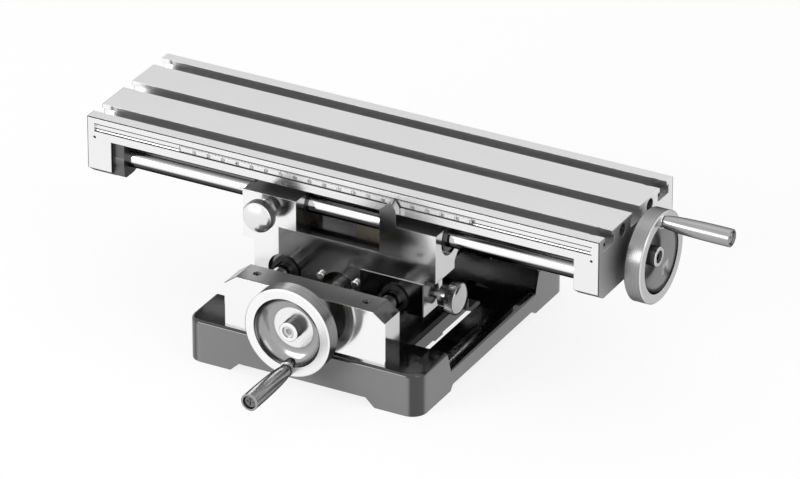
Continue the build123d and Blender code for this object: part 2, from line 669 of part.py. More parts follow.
def rod_lug(side, underside):
    """The lug on the left leg's inner face round one X rod, front one for side -1."""
    inner = -TABLE_LENGTH / 2 + LEG_THICKNESS
    toe = inner + LUG_REACH
    face = TABLE_WIDTH / 2 - LUG_SETBACK
    rise = LEG_FRONT_BOTTOM - LEG_BOTTOM
    face_bottom = LEG_FRONT_BOTTOM - LUG_SETBACK / LEG_CHAMFER_DEPTH * rise
    bevel = (LUG_BOTTOM - LEG_BOTTOM) / rise * LEG_CHAMFER_DEPTH
    bottom_y = TABLE_WIDTH / 2 - LEG_CHAMFER_DEPTH + bevel
    radius = X_ROD_Z - LUG_BOTTOM
    outline = [
        (side * face, underside + 1), (side * face, face_bottom), (side * bottom_y, LUG_BOTTOM),
        (side * X_ROD_Y, LUG_BOTTOM), (side * X_ROD_Y, X_ROD_Z),
        (side * (X_ROD_Y - radius), X_ROD_Z), (side * (X_ROD_Y - radius), underside + 1),
    ]
    return prism_x(outline, inner - 1, toe) + rod_x(radius, inner - 1, toe, side * X_ROD_Y, X_ROD_Z)


def t_slot(y):
    """The (y, z) section of one T-slot."""
    neck = SLOT_NECK_WIDTH / 2
    head = SLOT_HEAD_WIDTH / 2
    lip = TABLE_TOP - SLOT_LIP
    floor = TABLE_TOP - SLOT_DEPTH
    return [
        (y - neck, TABLE_TOP + 1), (y - neck, lip), (y - head, lip), (y - head, floor),
        (y + head, floor), (y + head, lip), (y + neck, lip), (y + neck, TABLE_TOP + 1),
    ]


def table_casting():
    half_l = TABLE_LENGTH / 2
    half_w = TABLE_WIDTH / 2
    underside = TABLE_TOP - PLATE_THICKNESS
    body = block(-half_l, half_l, -half_w, half_w, underside, TABLE_TOP)
    foot = half_w - LEG_CHAMFER_DEPTH
    leg = [
        (-half_w, underside + 1), (-half_w, LEG_FRONT_BOTTOM), (-foot, LEG_BOTTOM),
        (foot, LEG_BOTTOM), (half_w, LEG_FRONT_BOTTOM), (half_w, underside + 1),
    ]
    for sign in (-1, 1):
        end = sign * half_l
        inner = end - sign * LEG_THICKNESS
        body += prism_x(leg, min(end, inner), max(end, inner))
        toe = inner - sign * LEG_ROOT
        root = [(inner, underside + 1), (inner, underside - LEG_ROOT), (toe, underside), (toe, underside + 1)]
        body += prism_y(root, -foot, foot)
    for side in (-1, 1):
        body += rod_lug(side, underside)
    long_edges = body.edges().filter_by(Axis.X).filter_by(lambda e: e.center().Z > TABLE_TOP - 0.1)
    body = chamfer(long_edges, EDGE_BREAK)

    for y in (-SLOT_PITCH, 0, SLOT_PITCH):
        body -= prism_x(t_slot(y), -half_l - 1, half_l + 1)
    groove_back = -half_w + GROOVE_DEPTH
    body -= block(GROOVE_LEFT, GROOVE_RIGHT, -half_w - 1, groove_back, GROOVE_BOTTOM, GROOVE_TOP)

    pocket_bottom = TABLE_TOP - SLOT_DEPTH - ROD_POCKET_DEPTH
    for y in (-X_ROD_Y, X_ROD_Y):
        body -= rod_x(ROD_RADIUS + SEATED, -half_l - 1, -half_l + 40, y, X_ROD_Z)
        body -= rod_x(ROD_RADIUS + SEATED, half_l - 40, X_ROD_RIGHT_END + SEATED, y, X_ROD_Z)
        for sign in (-1, 1):
            x = sign * (half_l - ROD_SCREW_INSET)
            body -= rod_z(ROD_CLAMP_SCREW_RADIUS + SEATED, X_ROD_Z, TABLE_TOP, x, y)
            body -= rod_z(ROD_CLAMP_HOLE_RADIUS, pocket_bottom, TABLE_TOP, x, y)
    bush_bore = SCREW_BUSH_RADIUS + SEATED
    leg_inner = half_l - LEG_THICKNESS
    body -= rod_x(bush_bore, -half_l - 1, -leg_inner + 1, 0, X_SCREW_Z)
    body -= rod_x(bush_bore, leg_inner - 1, half_l + 1, 0, X_SCREW_Z)
    for y in (-END_HOLE_Y, END_HOLE_Y):
        body -= rod_x(END_HOLE_RADIUS, half_l - END_HOLE_DEPTH, half_l + 1, y, END_HOLE_Z)
    for sign in (-1, 1):
        pin_hole = RAIL_PIN_RADIUS + SEATED
        body -= rod_y(pin_hole, -half_w - 1, -half_w + RAIL_PIN_DEPTH, sign * RAIL_PIN_X, RAIL_PIN_Z)
    return body


def x_guide_rod(y):
    rod = rod_x(ROD_RADIUS, X_ROD_LEFT_END, X_ROD_RIGHT_END, y, X_ROD_Z)
    return chamfer(rod.edges().filter_by(GeomType.CIRCLE), ROD_EDGE_BREAK)


def rod_clamp_screws():
    x = TABLE_LENGTH / 2 - ROD_SCREW_INSET
    top = TABLE_TOP - SLOT_DEPTH - ROD_POCKET_DEPTH - 2
    return [
        set_screw_down(ROD_CLAMP_SCREW_RADIUS, X_ROD_Z + ROD_RADIUS, top, sign * x, y)
        for sign in (-1, 1)
        for y in (-X_ROD_Y, X_ROD_Y)
    ]


def ruler_strip():
    back = -TABLE_WIDTH / 2 + GROOVE_DEPTH
    top = (GROOVE_TOP + GROOVE_BOTTOM + RULER_HEIGHT) / 2
    return block(
        RULER_LEFT, RULER_LEFT + RULER_LENGTH, back - RULER_THICKNESS, back, top - RULER_HEIGHT, top
    )


def rail_pins():
    face = -TABLE_WIDTH / 2
    return [
        rod_y(RAIL_PIN_RADIUS, face + 0.2, face + RAIL_PIN_DEPTH, sign * RAIL_PIN_X, RAIL_PIN_Z)
        for sign in (-1, 1)
    ]


def x_screw_bush(sign):
    """A plain bush in the left leg for sign -1, a flanged one in the right leg for sign 1."""
    half_l = TABLE_LENGTH / 2
    inner = half_l - LEG_THICKNESS
    if sign < 0:
        body = rod_x(SCREW_BUSH_RADIUS, -half_l, -inner, 0, X_SCREW_Z)
        return body - rod_x(JOURNAL_RADIUS + RUNNING, -half_l - 1, -inner + 1, 0, X_SCREW_Z)
    body = rod_x(SCREW_BUSH_RADIUS, inner, half_l, 0, X_SCREW_Z)
    body += rod_x(SCREW_BUSH_FLANGE_RADIUS, half_l, half_l + X_BUSH_FLANGE, 0, X_SCREW_Z)
    return body - rod_x(LEAD_SCREW_RADIUS + RUNNING, inner - 1, half_l + 3, 0, X_SCREW_Z)


# Handwheel groups, made along +Z with the rim's front face at zero

def handwheel():
    dish = -WHEEL_DISH_DEPTH
    back = -WHEEL_RIM_WIDTH
    bore = JOURNAL_RADIUS + SEATED
    hub_top = -WHEEL_HUB_SETBACK
    edge = WHEEL_EDGE_BREAK
    bowl = EllipticalCenterArc(
        (WHEEL_DISH_RADIUS, 0), WHEEL_RIM_INNER - WHEEL_DISH_RADIUS, WHEEL_DISH_DEPTH, 270,
        arc_size=90,
    )
    rest = Polyline(
        (WHEEL_RIM_INNER, 0), (WHEEL_RADIUS - edge, 0), (WHEEL_RADIUS, -edge),
        (WHEEL_RADIUS, back + edge), (WHEEL_RADIUS - edge, back), (WHEEL_BACK_BOSS_RADIUS, back),
        (WHEEL_BACK_BOSS_RADIUS, -WHEEL_STANDOFF), (bore, -WHEEL_STANDOFF), (bore, hub_top),
        (WHEEL_HUB_RADIUS - edge / 2, hub_top), (WHEEL_HUB_RADIUS, hub_top - edge / 2),
        (WHEEL_HUB_RADIUS, dish), (WHEEL_DISH_RADIUS, dish),
    )
    body = turned_face(make_face(bowl + rest))
    boss = rod_z(HANDLE_BOSS_RADIUS, dish - 1, 0, HANDLE_RADIUS_ON_WHEEL, 0)
    boss &= rod_z(WHEEL_RADIUS - 1, -20, 1, 0, 0)
    body += boss
    return body - rod_z(SPINDLE_RADIUS + SEATED, back + 2, 1, HANDLE_RADIUS_ON_WHEEL, 0)


def wheel_screw():
    """The cap screw that holds the wheel on the end of its lead screw."""
    top = -WHEEL_HUB_SETBACK - WHEEL_SCREW_SUNK
    seat = top - WHEEL_SCREW_HEAD_HEIGHT
    screw = rod_z(WHEEL_SCREW_HEAD_RADIUS, seat, top, 0, 0)
    screw += rod_z(WHEEL_SCREW_RADIUS, seat - WHEEL_SCREW_GRIP, seat, 0, 0)
    return screw - hex_z(WHEEL_SCREW_HEAD_RADIUS * 0.58, top - SOCKET_DEPTH, top + 1, 0, 0)


def handle_spindle():
    """The shouldered pin that the grip turns on, with a cross-slotted head in the grip's end."""
    foot = -WHEEL_RIM_WIDTH + 2
    shoulder = HANDLE_SMALL_RADIUS + 0.4
    shoulder_top = HANDLE_START - 0.2
    end = HANDLE_LENGTH - SPINDLE_HEAD_SUNK
    head_low = end - SPINDLE_HEAD_HEIGHT
    outline = [
        (0, foot), (SPINDLE_RADIUS, foot), (SPINDLE_RADIUS, 0), (shoulder, 0),
        (shoulder, shoulder_top), (SPINDLE_RADIUS, shoulder_top), (SPINDLE_RADIUS, head_low),
        (SPINDLE_HEAD_RADIUS, head_low), (SPINDLE_HEAD_RADIUS, end - 0.5),
        (SPINDLE_HEAD_RADIUS - 0.5, end), (0, end),
    ]
    spindle = turned(outline)
    for angle in (0, 90):
        spindle -= Rot(0, 0, angle) * block(-2.4, 2.4, -0.4, 0.4, end - 0.9, end + 1)
    return Pos(HANDLE_RADIUS_ON_WHEEL, 0, 0) * spindle


def handle_grip():
    """The grip: slim at the wheel, swelling to its full thickness near the end."""
    bore = SPINDLE_RADIUS + RUNNING
    start, end = HANDLE_START, HANDLE_LENGTH
    head_seat = end - SPINDLE_HEAD_SUNK - SPINDLE_HEAD_HEIGHT - 0.2
    recess = SPINDLE_HEAD_RADIUS + 0.2
    swell = Spline(
        (HANDLE_SMALL_RADIUS, start + 0.4), (HANDLE_MIDDLE_RADIUS, end * HANDLE_MIDDLE_SHARE),
        (HANDLE_LARGE_RADIUS, end * HANDLE_LARGE_SHARE), tangents=((0.2, 1), (0, 1)),
    )
    rest = Polyline(
        (HANDLE_LARGE_RADIUS, end * HANDLE_LARGE_SHARE), (HANDLE_LARGE_RADIUS, end - 0.4),
        (HANDLE_LARGE_RADIUS - 0.4, end), (recess, end), (recess, head_seat), (bore, head_seat),
        (bore, start), (HANDLE_SMALL_RADIUS - 0.3, start), (HANDLE_SMALL_RADIUS, start + 0.4),
    )
    return Pos(HANDLE_RADIUS_ON_WHEEL, 0, 0) * turned_face(make_face(swell + rest))


def on_y_wheel(shape):
    """Put a handwheel piece on the front of the Y lead screw, handle hanging down."""
    return facing_front(Rot(0, 0, -90) * shape, 0, Y_WHEEL_FACE, Y_SCREW_Z)


def on_x_wheel(shape):
    """Put a handwheel piece on the right end of the X lead screw, handle standing up."""
    return facing_right(Rot(0, 0, 180) * shape, X_WHEEL_FACE, 0, X_SCREW_Z)


def y_lead_screw():
    front_inner, front_outer = bridge_faces(-1)
    rear_inner, rear_outer = bridge_faces(1)
    bush_front = front_outer - Y_BUSH_FLANGE
    wheel_end = Y_WHEEL_FACE + WHEEL_HUB_SETBACK + WHEEL_SCREW_SUNK + WHEEL_SCREW_HEAD_HEIGHT
    body = rod_y(JOURNAL_RADIUS, wheel_end, bush_front + 2, 0, Y_SCREW_Z)
    body += rod_y(LEAD_SCREW_RADIUS, bush_front, rear_inner - 0.5, 0, Y_SCREW_Z)
    body += rod_y(JOURNAL_RADIUS, rear_inner - 1, rear_outer - 1, 0, Y_SCREW_Z)
    hole_end = wheel_end + WHEEL_SCREW_GRIP + 0.6
    return body - rod_y(WHEEL_SCREW_RADIUS + SEATED, wheel_end - 1, hole_end, 0, Y_SCREW_Z)


def thrust_collar():
    """A collar with a grub screw hole, made along +Z."""
    body = rod_z(THRUST_COLLAR_RADIUS, 0, THRUST_COLLAR_WIDTH, 0, 0)
    body = chamfer(body.edges().filter_by(GeomType.CIRCLE), THRUST_COLLAR_EDGE)
    body -= rod_z(LEAD_SCREW_RADIUS + SEATED, -1, THRUST_COLLAR_WIDTH + 1, 0, 0)
    hole = GRUB_SCREW_RADIUS + SEATED
    return body - rod_x(hole, 0, THRUST_COLLAR_RADIUS + 1, 0, THRUST_COLLAR_WIDTH / 2)


def collar_screw():
    """The grub screw of the thrust collar."""
    tip = LEAD_SCREW_RADIUS + SEATED
    body = rod_x(GRUB_SCREW_RADIUS, tip, THRUST_COLLAR_RADIUS - 0.3, 0, THRUST_COLLAR_WIDTH / 2)
    socket_bottom = THRUST_COLLAR_RADIUS - GRUB_SCREW_RADIUS - 0.2
    return body - rod_x(1.0, socket_bottom, THRUST_COLLAR_RADIUS, 0, THRUST_COLLAR_WIDTH / 2)


def on_y_screw(shape):
    """Put a collar piece on the Y lead screw, just behind the front bridge."""
    inner = bridge_faces(-1)[0] + COLLAR_GAP
    return Pos(0, inner, Y_SCREW_Z) * Rot(-90, 0, 0) * Rot(0, 0, -90) * shape


def on_x_screw(shape):
    """Put a collar piece on the X lead screw, just inside the right leg."""
    inner = TABLE_LENGTH / 2 - LEG_THICKNESS - COLLAR_GAP
    return Pos(inner, 0, X_SCREW_Z) * Rot(0, -90, 0) * Rot(0, 0, 180) * shape


def x_lead_screw():
    half_l = TABLE_LENGTH / 2
    bush_end = half_l + X_BUSH_FLANGE
    wheel_end = X_WHEEL_FACE - WHEEL_HUB_SETBACK - WHEEL_SCREW_SUNK - WHEEL_SCREW_HEAD_HEIGHT
    left_inner = -half_l + LEG_THICKNESS
    body = rod_x(JOURNAL_RADIUS, bush_end - 2, wheel_end, 0, X_SCREW_Z)
    body += rod_x(LEAD_SCREW_RADIUS, left_inner + 0.5, bush_end, 0, X_SCREW_Z)
    body += rod_x(JOURNAL_RADIUS, -half_l + 1, left_inner + 1, 0, X_SCREW_Z)
    hole_end = wheel_end - WHEEL_SCREW_GRIP - 0.6
    return body - rod_x(WHEEL_SCREW_RADIUS + SEATED, hole_end, wheel_end + 1, 0, X_SCREW_Z)


# Lock knobs, made along +Z with the mounting face at zero

def lock_knob(stem_length):
    """A domed, knurled knob on a threaded stem; the stem runs down into the casting."""
    stem = LOCK_THREAD_RADIUS - RUNNING
    rise = KNOB_FACE - KNOB_DOME_START
    ball = (KNOB_RADIUS**2 + rise**2) / (2 * rise)
    across = KNOB_RADIUS * 0.6
    on_dome = KNOB_FACE - ball + (ball**2 - across**2) ** 0.5
    dome = ThreePointArc((KNOB_RADIUS, KNOB_DOME_START), (across, on_dome), (0, KNOB_FACE))
    rest = Polyline(
        (0, KNOB_FACE), (0, -stem_length), (stem, -stem_length), (stem, KNOB_STANDOFF),
        (KNOB_NECK_RADIUS, KNOB_STANDOFF), (KNOB_NECK_RADIUS, KNOB_GRIP_START),
        (KNOB_RADIUS - KNOB_EDGE_BREAK, KNOB_GRIP_START),
        (KNOB_RADIUS, KNOB_GRIP_START + KNOB_EDGE_BREAK), (KNOB_RADIUS, KNOB_DOME_START),
    )
    return turned_face(make_face(dome + rest))


def lock_pad():
    """The soft slug that the stem presses on the rod."""
    return rod_z(LOCK_THREAD_RADIUS - RUNNING, -LOCK_PAD_LENGTH, 0, 0, 0)


def x_lock_stem_length():
    return SADDLE_FRONT - X_ROD_Y - ROD_RADIUS - LOCK_PAD_GAP - LOCK_PAD_LENGTH


def y_lock_stem_length():
    return CLAMP_BLOCK_RIGHT - Y_ROD_X - ROD_RADIUS - LOCK_PAD_GAP - LOCK_PAD_LENGTH


def with_saddle(shape):
    return Pos(0, SADDLE_Y, 0) * shape


def with_table(shape):
    return Pos(TABLE_X, SADDLE_Y, 0) * shape


def pieces():
    """Every node's solids by name, at the rest positions."""
    rods_front, rods_rear = -X_ROD_Y, X_ROD_Y
    nodes = {
        "base_casting": base_casting(),
        "front_rod_bridge": rod_bridge(-1),
        "rear_rod_bridge": rod_bridge(1),
        "bridge_screws": bridge_screws(),
        "y_guide_rod_left": y_guide_rod(-Y_ROD_X),
        "y_guide_rod_right": y_guide_rod(Y_ROD_X),
        "rod_set_screws": rod_set_screws(),
        "y_screw_bush_front": y_screw_bush(-1),
        "y_screw_bush_rear": y_screw_bush(1),
        "y_lead_screw": y_lead_screw(),
        "y_thrust_collar": on_y_screw(thrust_collar()),
        "y_collar_screw": on_y_screw(collar_screw()),
        "y_handwheel": on_y_wheel(handwheel()),
        "y_wheel_screw": on_y_wheel(wheel_screw()),
        "y_handle_spindle": on_y_wheel(handle_spindle()),
        "y_handle_grip": on_y_wheel(handle_grip()),
    }
    saddle = {
        "saddle_casting": saddle_casting(),
        "clamp_block": clamp_block(),
        "clamp_block_screws": clamp_block_screws(),
        "y_rod_bushes": y_rod_bushes(),
        "x_rod_bushes": x_rod_bushes(),
        "y_feed_nut": y_feed_nut(),
        "y_nut_screws": y_nut_screws(),
        "x_feed_nut": x_feed_nut(),
        "x_nut_screws": x_nut_screws(),
        "x_lock_knob": facing_front(
            lock_knob(x_lock_stem_length()), X_LOCK_X, -SADDLE_FRONT, X_ROD_Z
        ),
        "x_lock_pad": facing_front(
            lock_pad(), X_LOCK_X, -SADDLE_FRONT + x_lock_stem_length(), X_ROD_Z
        ),
        "y_lock_knob": facing_right(
            lock_knob(y_lock_stem_length()), CLAMP_BLOCK_RIGHT, Y_LOCK_Y, Y_ROD_Z
        ),
        "y_lock_pad": facing_right(
            lock_pad(), CLAMP_BLOCK_RIGHT - y_lock_stem_length(), Y_LOCK_Y, Y_ROD_Z
        ),
    }
    table = {
        "table_casting": table_casting(),
        "x_guide_rod_front": x_guide_rod(rods_front),
        "x_guide_rod_rear": x_guide_rod(rods_rear),
        "rod_clamp_screws": rod_clamp_screws(),
        "ruler_strip": ruler_strip(),
        "rail_pins": rail_pins(),
        "x_screw_bush_left": x_screw_bush(-1),
        "x_screw_bush_right": x_screw_bush(1),
        "x_lead_screw": x_lead_screw(),
        "x_thrust_collar": on_x_screw(thrust_collar()),
        "x_collar_screw": on_x_screw(collar_screw()),
        "x_handwheel": on_x_wheel(handwheel()),
        "x_wheel_screw": on_x_wheel(wheel_screw()),
        "x_handle_spindle": on_x_wheel(handle_spindle()),
        "x_handle_grip": on_x_wheel(handle_grip()),
    }
    for name, shape in saddle.items():
        group = shape if isinstance(shape, list) else [shape]
        nodes[name] = [with_saddle(solid) for solid in group]
    for name, shape in table.items():
        group = shape if isinstance(shape, list) else [shape]
        nodes[name] = [with_table(solid) for solid in group]
    return nodes


def write_parts():
    os.makedirs("parts", exist_ok=True)
    for name, shape in pieces().items():
        group = shape if isinstance(shape, list) else [shape]
        solids = [solid for member in group for solid in member.solids()]
        part = solids[0] if len(solids) == 1 else Compound(children=solids)
        export_step(part, f"parts/{name}.step")


write_parts()
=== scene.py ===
import math

import bmesh
import bpy
from mathutils import Matrix, Vector


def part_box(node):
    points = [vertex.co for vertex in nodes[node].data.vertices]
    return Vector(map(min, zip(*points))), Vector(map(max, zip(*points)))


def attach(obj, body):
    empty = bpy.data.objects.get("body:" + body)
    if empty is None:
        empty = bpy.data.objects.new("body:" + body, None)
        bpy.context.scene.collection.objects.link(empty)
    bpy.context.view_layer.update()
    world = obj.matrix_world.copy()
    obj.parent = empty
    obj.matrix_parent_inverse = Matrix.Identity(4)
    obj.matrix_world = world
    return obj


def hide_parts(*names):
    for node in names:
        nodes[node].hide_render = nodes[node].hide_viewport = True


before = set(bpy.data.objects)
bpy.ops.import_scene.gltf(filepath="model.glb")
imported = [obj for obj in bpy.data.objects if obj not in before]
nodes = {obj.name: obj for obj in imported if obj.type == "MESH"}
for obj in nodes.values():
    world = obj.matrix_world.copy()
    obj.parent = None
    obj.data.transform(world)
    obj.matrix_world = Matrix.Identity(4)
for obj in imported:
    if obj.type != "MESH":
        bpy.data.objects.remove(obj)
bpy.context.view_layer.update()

MM = 0.001
TURN = 2 * math.pi

# Sizes and places on the object are in millimetres, as the CAD has them at rest.
# A pair of places for painted light or painted reflection gives where it starts to change and where the
# change is complete.

# Base and bridges
OUTER_WALL = 50.0
BRIDGE_TOP = 63.0
BRIDGE_SHOULDER = 50.0

# Saddle
SADDLE_Y = 3.0
SADDLE_TOP = 98.0
SADDLE_FRONT = 54.5
RECESS_LEFT = -29.3
RECESS_RIGHT = 27.8
WEB_TOP = 78.0
WEB_LEFT = -41.5
# Painted reflection on the saddle's web and right front changes between these places.
WEB_PAINTED_REFLECTION = (WEB_LEFT, 60.0)
RIGHT_PAINTED_REFLECTION = (42.0, 62.0)
CLAMP_BLOCK_LEFT = 14.6
CLAMP_BLOCK_TOP = 64.0

# Table, measured from its own middle
TABLE_X = -3.0
TABLE_TOP = 118.0
TABLE_HALF_LENGTH = 175.0
TABLE_HALF_WIDTH = 49.0
PLATE_BOTTOM = TABLE_TOP - 14.5
LEG_FRONT_BOTTOM = 83.0
GROOVE_END = 170.2
GROOVE_FLOOR = TABLE_HALF_WIDTH - 1.5
GROOVE_TOP = 113.5
GROOVE_BOTTOM = 109.0
# Painted light in the T-slots' left mouths changes between these places.
SLOT_PAINTED_LIGHT = (-170.0, -163.0)
# Painted reflection towards the rear of the table's ends changes between these places.
END_PAINTED_LIGHT = (-4.0, 24.0)

# Ruler
RULER_ZERO_X = TABLE_X - 110.25
RULER_FACE_Y = SADDLE_Y - 48.4
RULER_TOP_Z = GROOVE_TOP - 0.1
RULER_BOTTOM_Z = GROOVE_BOTTOM + 0.1
RULER_LENGTH = 200
RULER_STEP = 10
MARK_THICKNESS = 0.03
MARK_WIDTH = 0.34
MARK_MARGIN = 0.15
MARK_LENGTHS = {10: 1.5, 5: 1.25, 1: 0.9}
NUMBER_HEIGHT = 2.2
NUMBER_STROKE = 0.045
NUMBER_BASE_Z = RULER_BOTTOM_Z + 0.3
NUMBER_WIDTHS = {1: 0.9, 2: 0.9, 3: 0.74}
FONT_TO_FIGURE = 1.42

# Lead screws: the steps are the shoulder, then the start and the end of the thread, from the wheel on.
# Those of the X screw are measured from the table's middle.
Y_SCREW_Z = 46.5
X_SCREW_Z = 90.0
Y_SCREW_STEPS = (-100.7, -68.0, 70.5)
X_SCREW_STEPS = (177.0, 150.0, -158.0)
JOURNAL_RADIUS = 4.0
THREAD_PITCH = 2.0
THREAD_CREST = 5.0
THREAD_ROOT = 4.05
THREAD_CREST_HALF = 0.35
THREAD_ROOT_HALF = 0.75
THREAD_BURIED = 0.4
THREAD_RUNOUT = 0.9
THREAD_STEPS = 24
BAR_STEPS = 48
LEFT_HAND = -1
RIGHT_HAND = 1

# Handwheels: each centre lies in the plane of the rim's face
Y_WHEEL_CENTRE = (0, -116.0, Y_SCREW_Z)
X_WHEEL_CENTRE = (192.3 + TABLE_X, SADDLE_Y, X_SCREW_Z)
WHEEL_RADIUS = 29.0
WHEEL_RIM_INNER = 22.7
WHEEL_DISH_RADIUS = 13.3
WHEEL_HUB_RADIUS = 6.2
WHEEL_HUB_SETBACK = 1.5

# Lock knobs, along their own axis from the casting outwards
X_LOCK = (-48.0, SADDLE_Y - SADDLE_FRONT, 89.5)
Y_LOCK = (57.8, SADDLE_Y - 36.0, 49.0)
X_LOCK_STEM = 8.15
Y_LOCK_STEM = 10.05
KNOB_STEM = 2.95
KNOB_STANDOFF = 3.0
KNOB_NECK = 7.0
KNOB_GRIP_START = 8.6
KNOB_DOME_START = 14.8
KNOB_FACE = 17.6
KNOB_RADIUS = 10.25
KNOB_CREST = KNOB_RADIUS - 0.06
KNOB_DOME_SHARES = (0.9, 0.75, 0.55, 0.35, 0.15, 0.04)
KNOB_TEETH = 60
POINTS_PER_TOOTH = 4
TOOTH_DEPTH = 0.55

# Points nearer than this are one point
WELD = 0.0005


# Camera: where the photograph was taken from, fitted to the table's corners and slots

CAMERA_PLACE = Vector((1.73302, -3.18135, 1.97396))
CAMERA_AIM = Vector((-0.4201, 0.7775, -0.4679))
CAMERA_LENS = 303.19
CAMERA_SENSOR = 36.0
CAMERA_REACH = (0.1, 30.0)


def set_camera():
    camera = bpy.data.cameras.new("camera")
    camera.lens = CAMERA_LENS
    camera.sensor_width = CAMERA_SENSOR
    camera.clip_start, camera.clip_end = CAMERA_REACH
    holder = bpy.data.objects.new("camera", camera)
    holder.location = CAMERA_PLACE
    holder.rotation_mode = "QUATERNION"
    holder.rotation_quaternion = CAMERA_AIM.to_track_quat("-Z", "Y")
    bpy.context.scene.collection.objects.link(holder)
    bpy.context.scene.camera = holder


# Studio, in metres and watts

WORLD_LIGHT = 0.55
WORLD_SEEN = 1.0
FLOOR_HALF = 4.0
FLOOR_DROP = 0.05 * MM
FLOOR_GLOW = 0.83
FLOOR_ALBEDO = 0.22


def seen_directly(tree):
    """One for camera, glossy and transmitted rays, nought for light that falls on the object."""
    path = tree.nodes.new("ShaderNodeLightPath")
    first = tree.nodes.new("ShaderNodeMath")
    first.operation = "MAXIMUM"
    second = tree.nodes.new("ShaderNodeMath")
    second.operation = "MAXIMUM"
    tree.links.new(path.outputs["Is Camera Ray"], first.inputs[0])
    tree.links.new(path.outputs["Is Glossy Ray"], first.inputs[1])
    tree.links.new(first.outputs[0], second.inputs[0])
    tree.links.new(path.outputs["Is Transmission Ray"], second.inputs[1])
    return second.outputs[0]


def set_world():
    """White where it is seen or mirrored, softer as a light."""
    world = bpy.data.worlds.new("studio")
    bpy.context.scene.world = world
    world.use_nodes = True
    tree = world.node_tree
    background = tree.nodes["Background"]
    background.inputs["Color"].default_value = (1, 1, 1, 1)
    strength = tree.nodes.new("ShaderNodeMapRange")
    strength.inputs["To Min"].default_value = WORLD_LIGHT
    strength.inputs["To Max"].default_value = WORLD_SEEN
    tree.links.new(seen_directly(tree), strength.inputs["Value"])
    tree.links.new(strength.outputs["Result"], background.inputs["Strength"])


def make_floor():
    """A pale sheet under the object that still takes its shadow."""
    bm = bmesh.new()
    bmesh.ops.create_grid(bm, x_segments=1, y_segments=1, size=FLOOR_HALF)
    bmesh.ops.translate(bm, verts=bm.verts, vec=(0, 0, -FLOOR_DROP))
    floor = object_from(bm, "studio_floor")
    material = bpy.data.materials.new("studio_floor")
    material.use_nodes = True
    tree = material.node_tree
    tree.nodes.remove(tree.nodes["Principled BSDF"])
    diffuse = tree.nodes.new("ShaderNodeBsdfDiffuse")
    diffuse.inputs["Color"].default_value = (*shade(FLOOR_ALBEDO), 1)
    glow = tree.nodes.new("ShaderNodeEmission")
    glow.inputs["Color"].default_value = (1, 1, 1, 1)
    strength = tree.nodes.new("ShaderNodeMath")
    strength.operation = "MULTIPLY"
    strength.inputs[1].default_value = FLOOR_GLOW
    both = tree.nodes.new("ShaderNodeAddShader")
    tree.links.new(seen_directly(tree), strength.inputs[0])
    tree.links.new(strength.outputs[0], glow.inputs["Strength"])
    tree.links.new(diffuse.outputs[0], both.inputs[0])
    tree.links.new(glow.outputs[0], both.inputs[1])
    tree.links.new(both.outputs[0], tree.nodes["Material Output"].inputs["Surface"])
    floor.data.materials.append(material)


def add_lamp(name, position, aim, size, power):
    light = bpy.data.lights.new(name, "AREA")
    light.shape = "RECTANGLE"
    light.size, light.size_y = size
    light.energy = power
    lamp = bpy.data.objects.new(name, light)
    lamp.location = position
    lamp.rotation_mode = "QUATERNION"
    lamp.rotation_quaternion = (Vector(aim) - Vector(position)).to_track_quat("-Z", "Y")
    bpy.context.scene.collection.objects.link(lamp)


def set_studio():
    set_world()
    make_floor()
    add_lamp("key", position=(-1.1, -1.8, 0.8), aim=(0, 0, 0.05), size=(1.4, 0.9), power=20)
    add_lamp("fill", position=(1.6, -0.6, 1.3), aim=(0, 0, 0.05), size=(1.2, 1.2), power=4)
    add_lamp("top", position=(-0.3, 0.5, 1.8), aim=(0, 0, 0.1), size=(1.4, 1.0), power=1.5)


# Mesh helpers

def object_from(bm, name, smooth_angle=None):
    mesh = bpy.data.meshes.new(name)
    bm.to_mesh(mesh)
    bm.free()
    thing = bpy.data.objects.new(name, mesh)
    bpy.context.scene.collection.objects.link(thing)
    if smooth_angle is not None:
        for face in mesh.polygons:
            face.use_smooth = True
        mesh.set_sharp_from_angle(angle=math.radians(smooth_angle))
    return thing


def spin_outline(bm, outline, steps):
    """Turn (radius, height) points about Z into a closed skin."""
    verts = [bm.verts.new((radius, 0, height)) for radius, height in outline]
    edges = [bm.edges.new(pair) for pair in zip(verts, verts[1:])]
    bmesh.ops.spin(
        bm, geom=verts + edges, cent=(0, 0, 0), axis=(0, 0, 1), angle=TURN, steps=steps, use_merge=True
    )
    bmesh.ops.remove_doubles(bm, verts=bm.verts, dist=WELD)
    bmesh.ops.recalc_face_normals(bm, faces=bm.faces)


def place(bm, matrix):
    """Put a shape that was made in millimetres at its place in metres."""
    bmesh.ops.transform(bm, matrix=Matrix.Scale(MM, 4) @ matrix, verts=bm.verts)


def facing(axis, degrees, centre):
    """Z of the shape is turned about an axis, and its zero put at a centre."""
    return Matrix.Translation(centre) @ Matrix.Rotation(math.radians(degrees), 4, axis)


# Materials

def shade(level):
    """A neutral colour."""
    return (level, level, level)


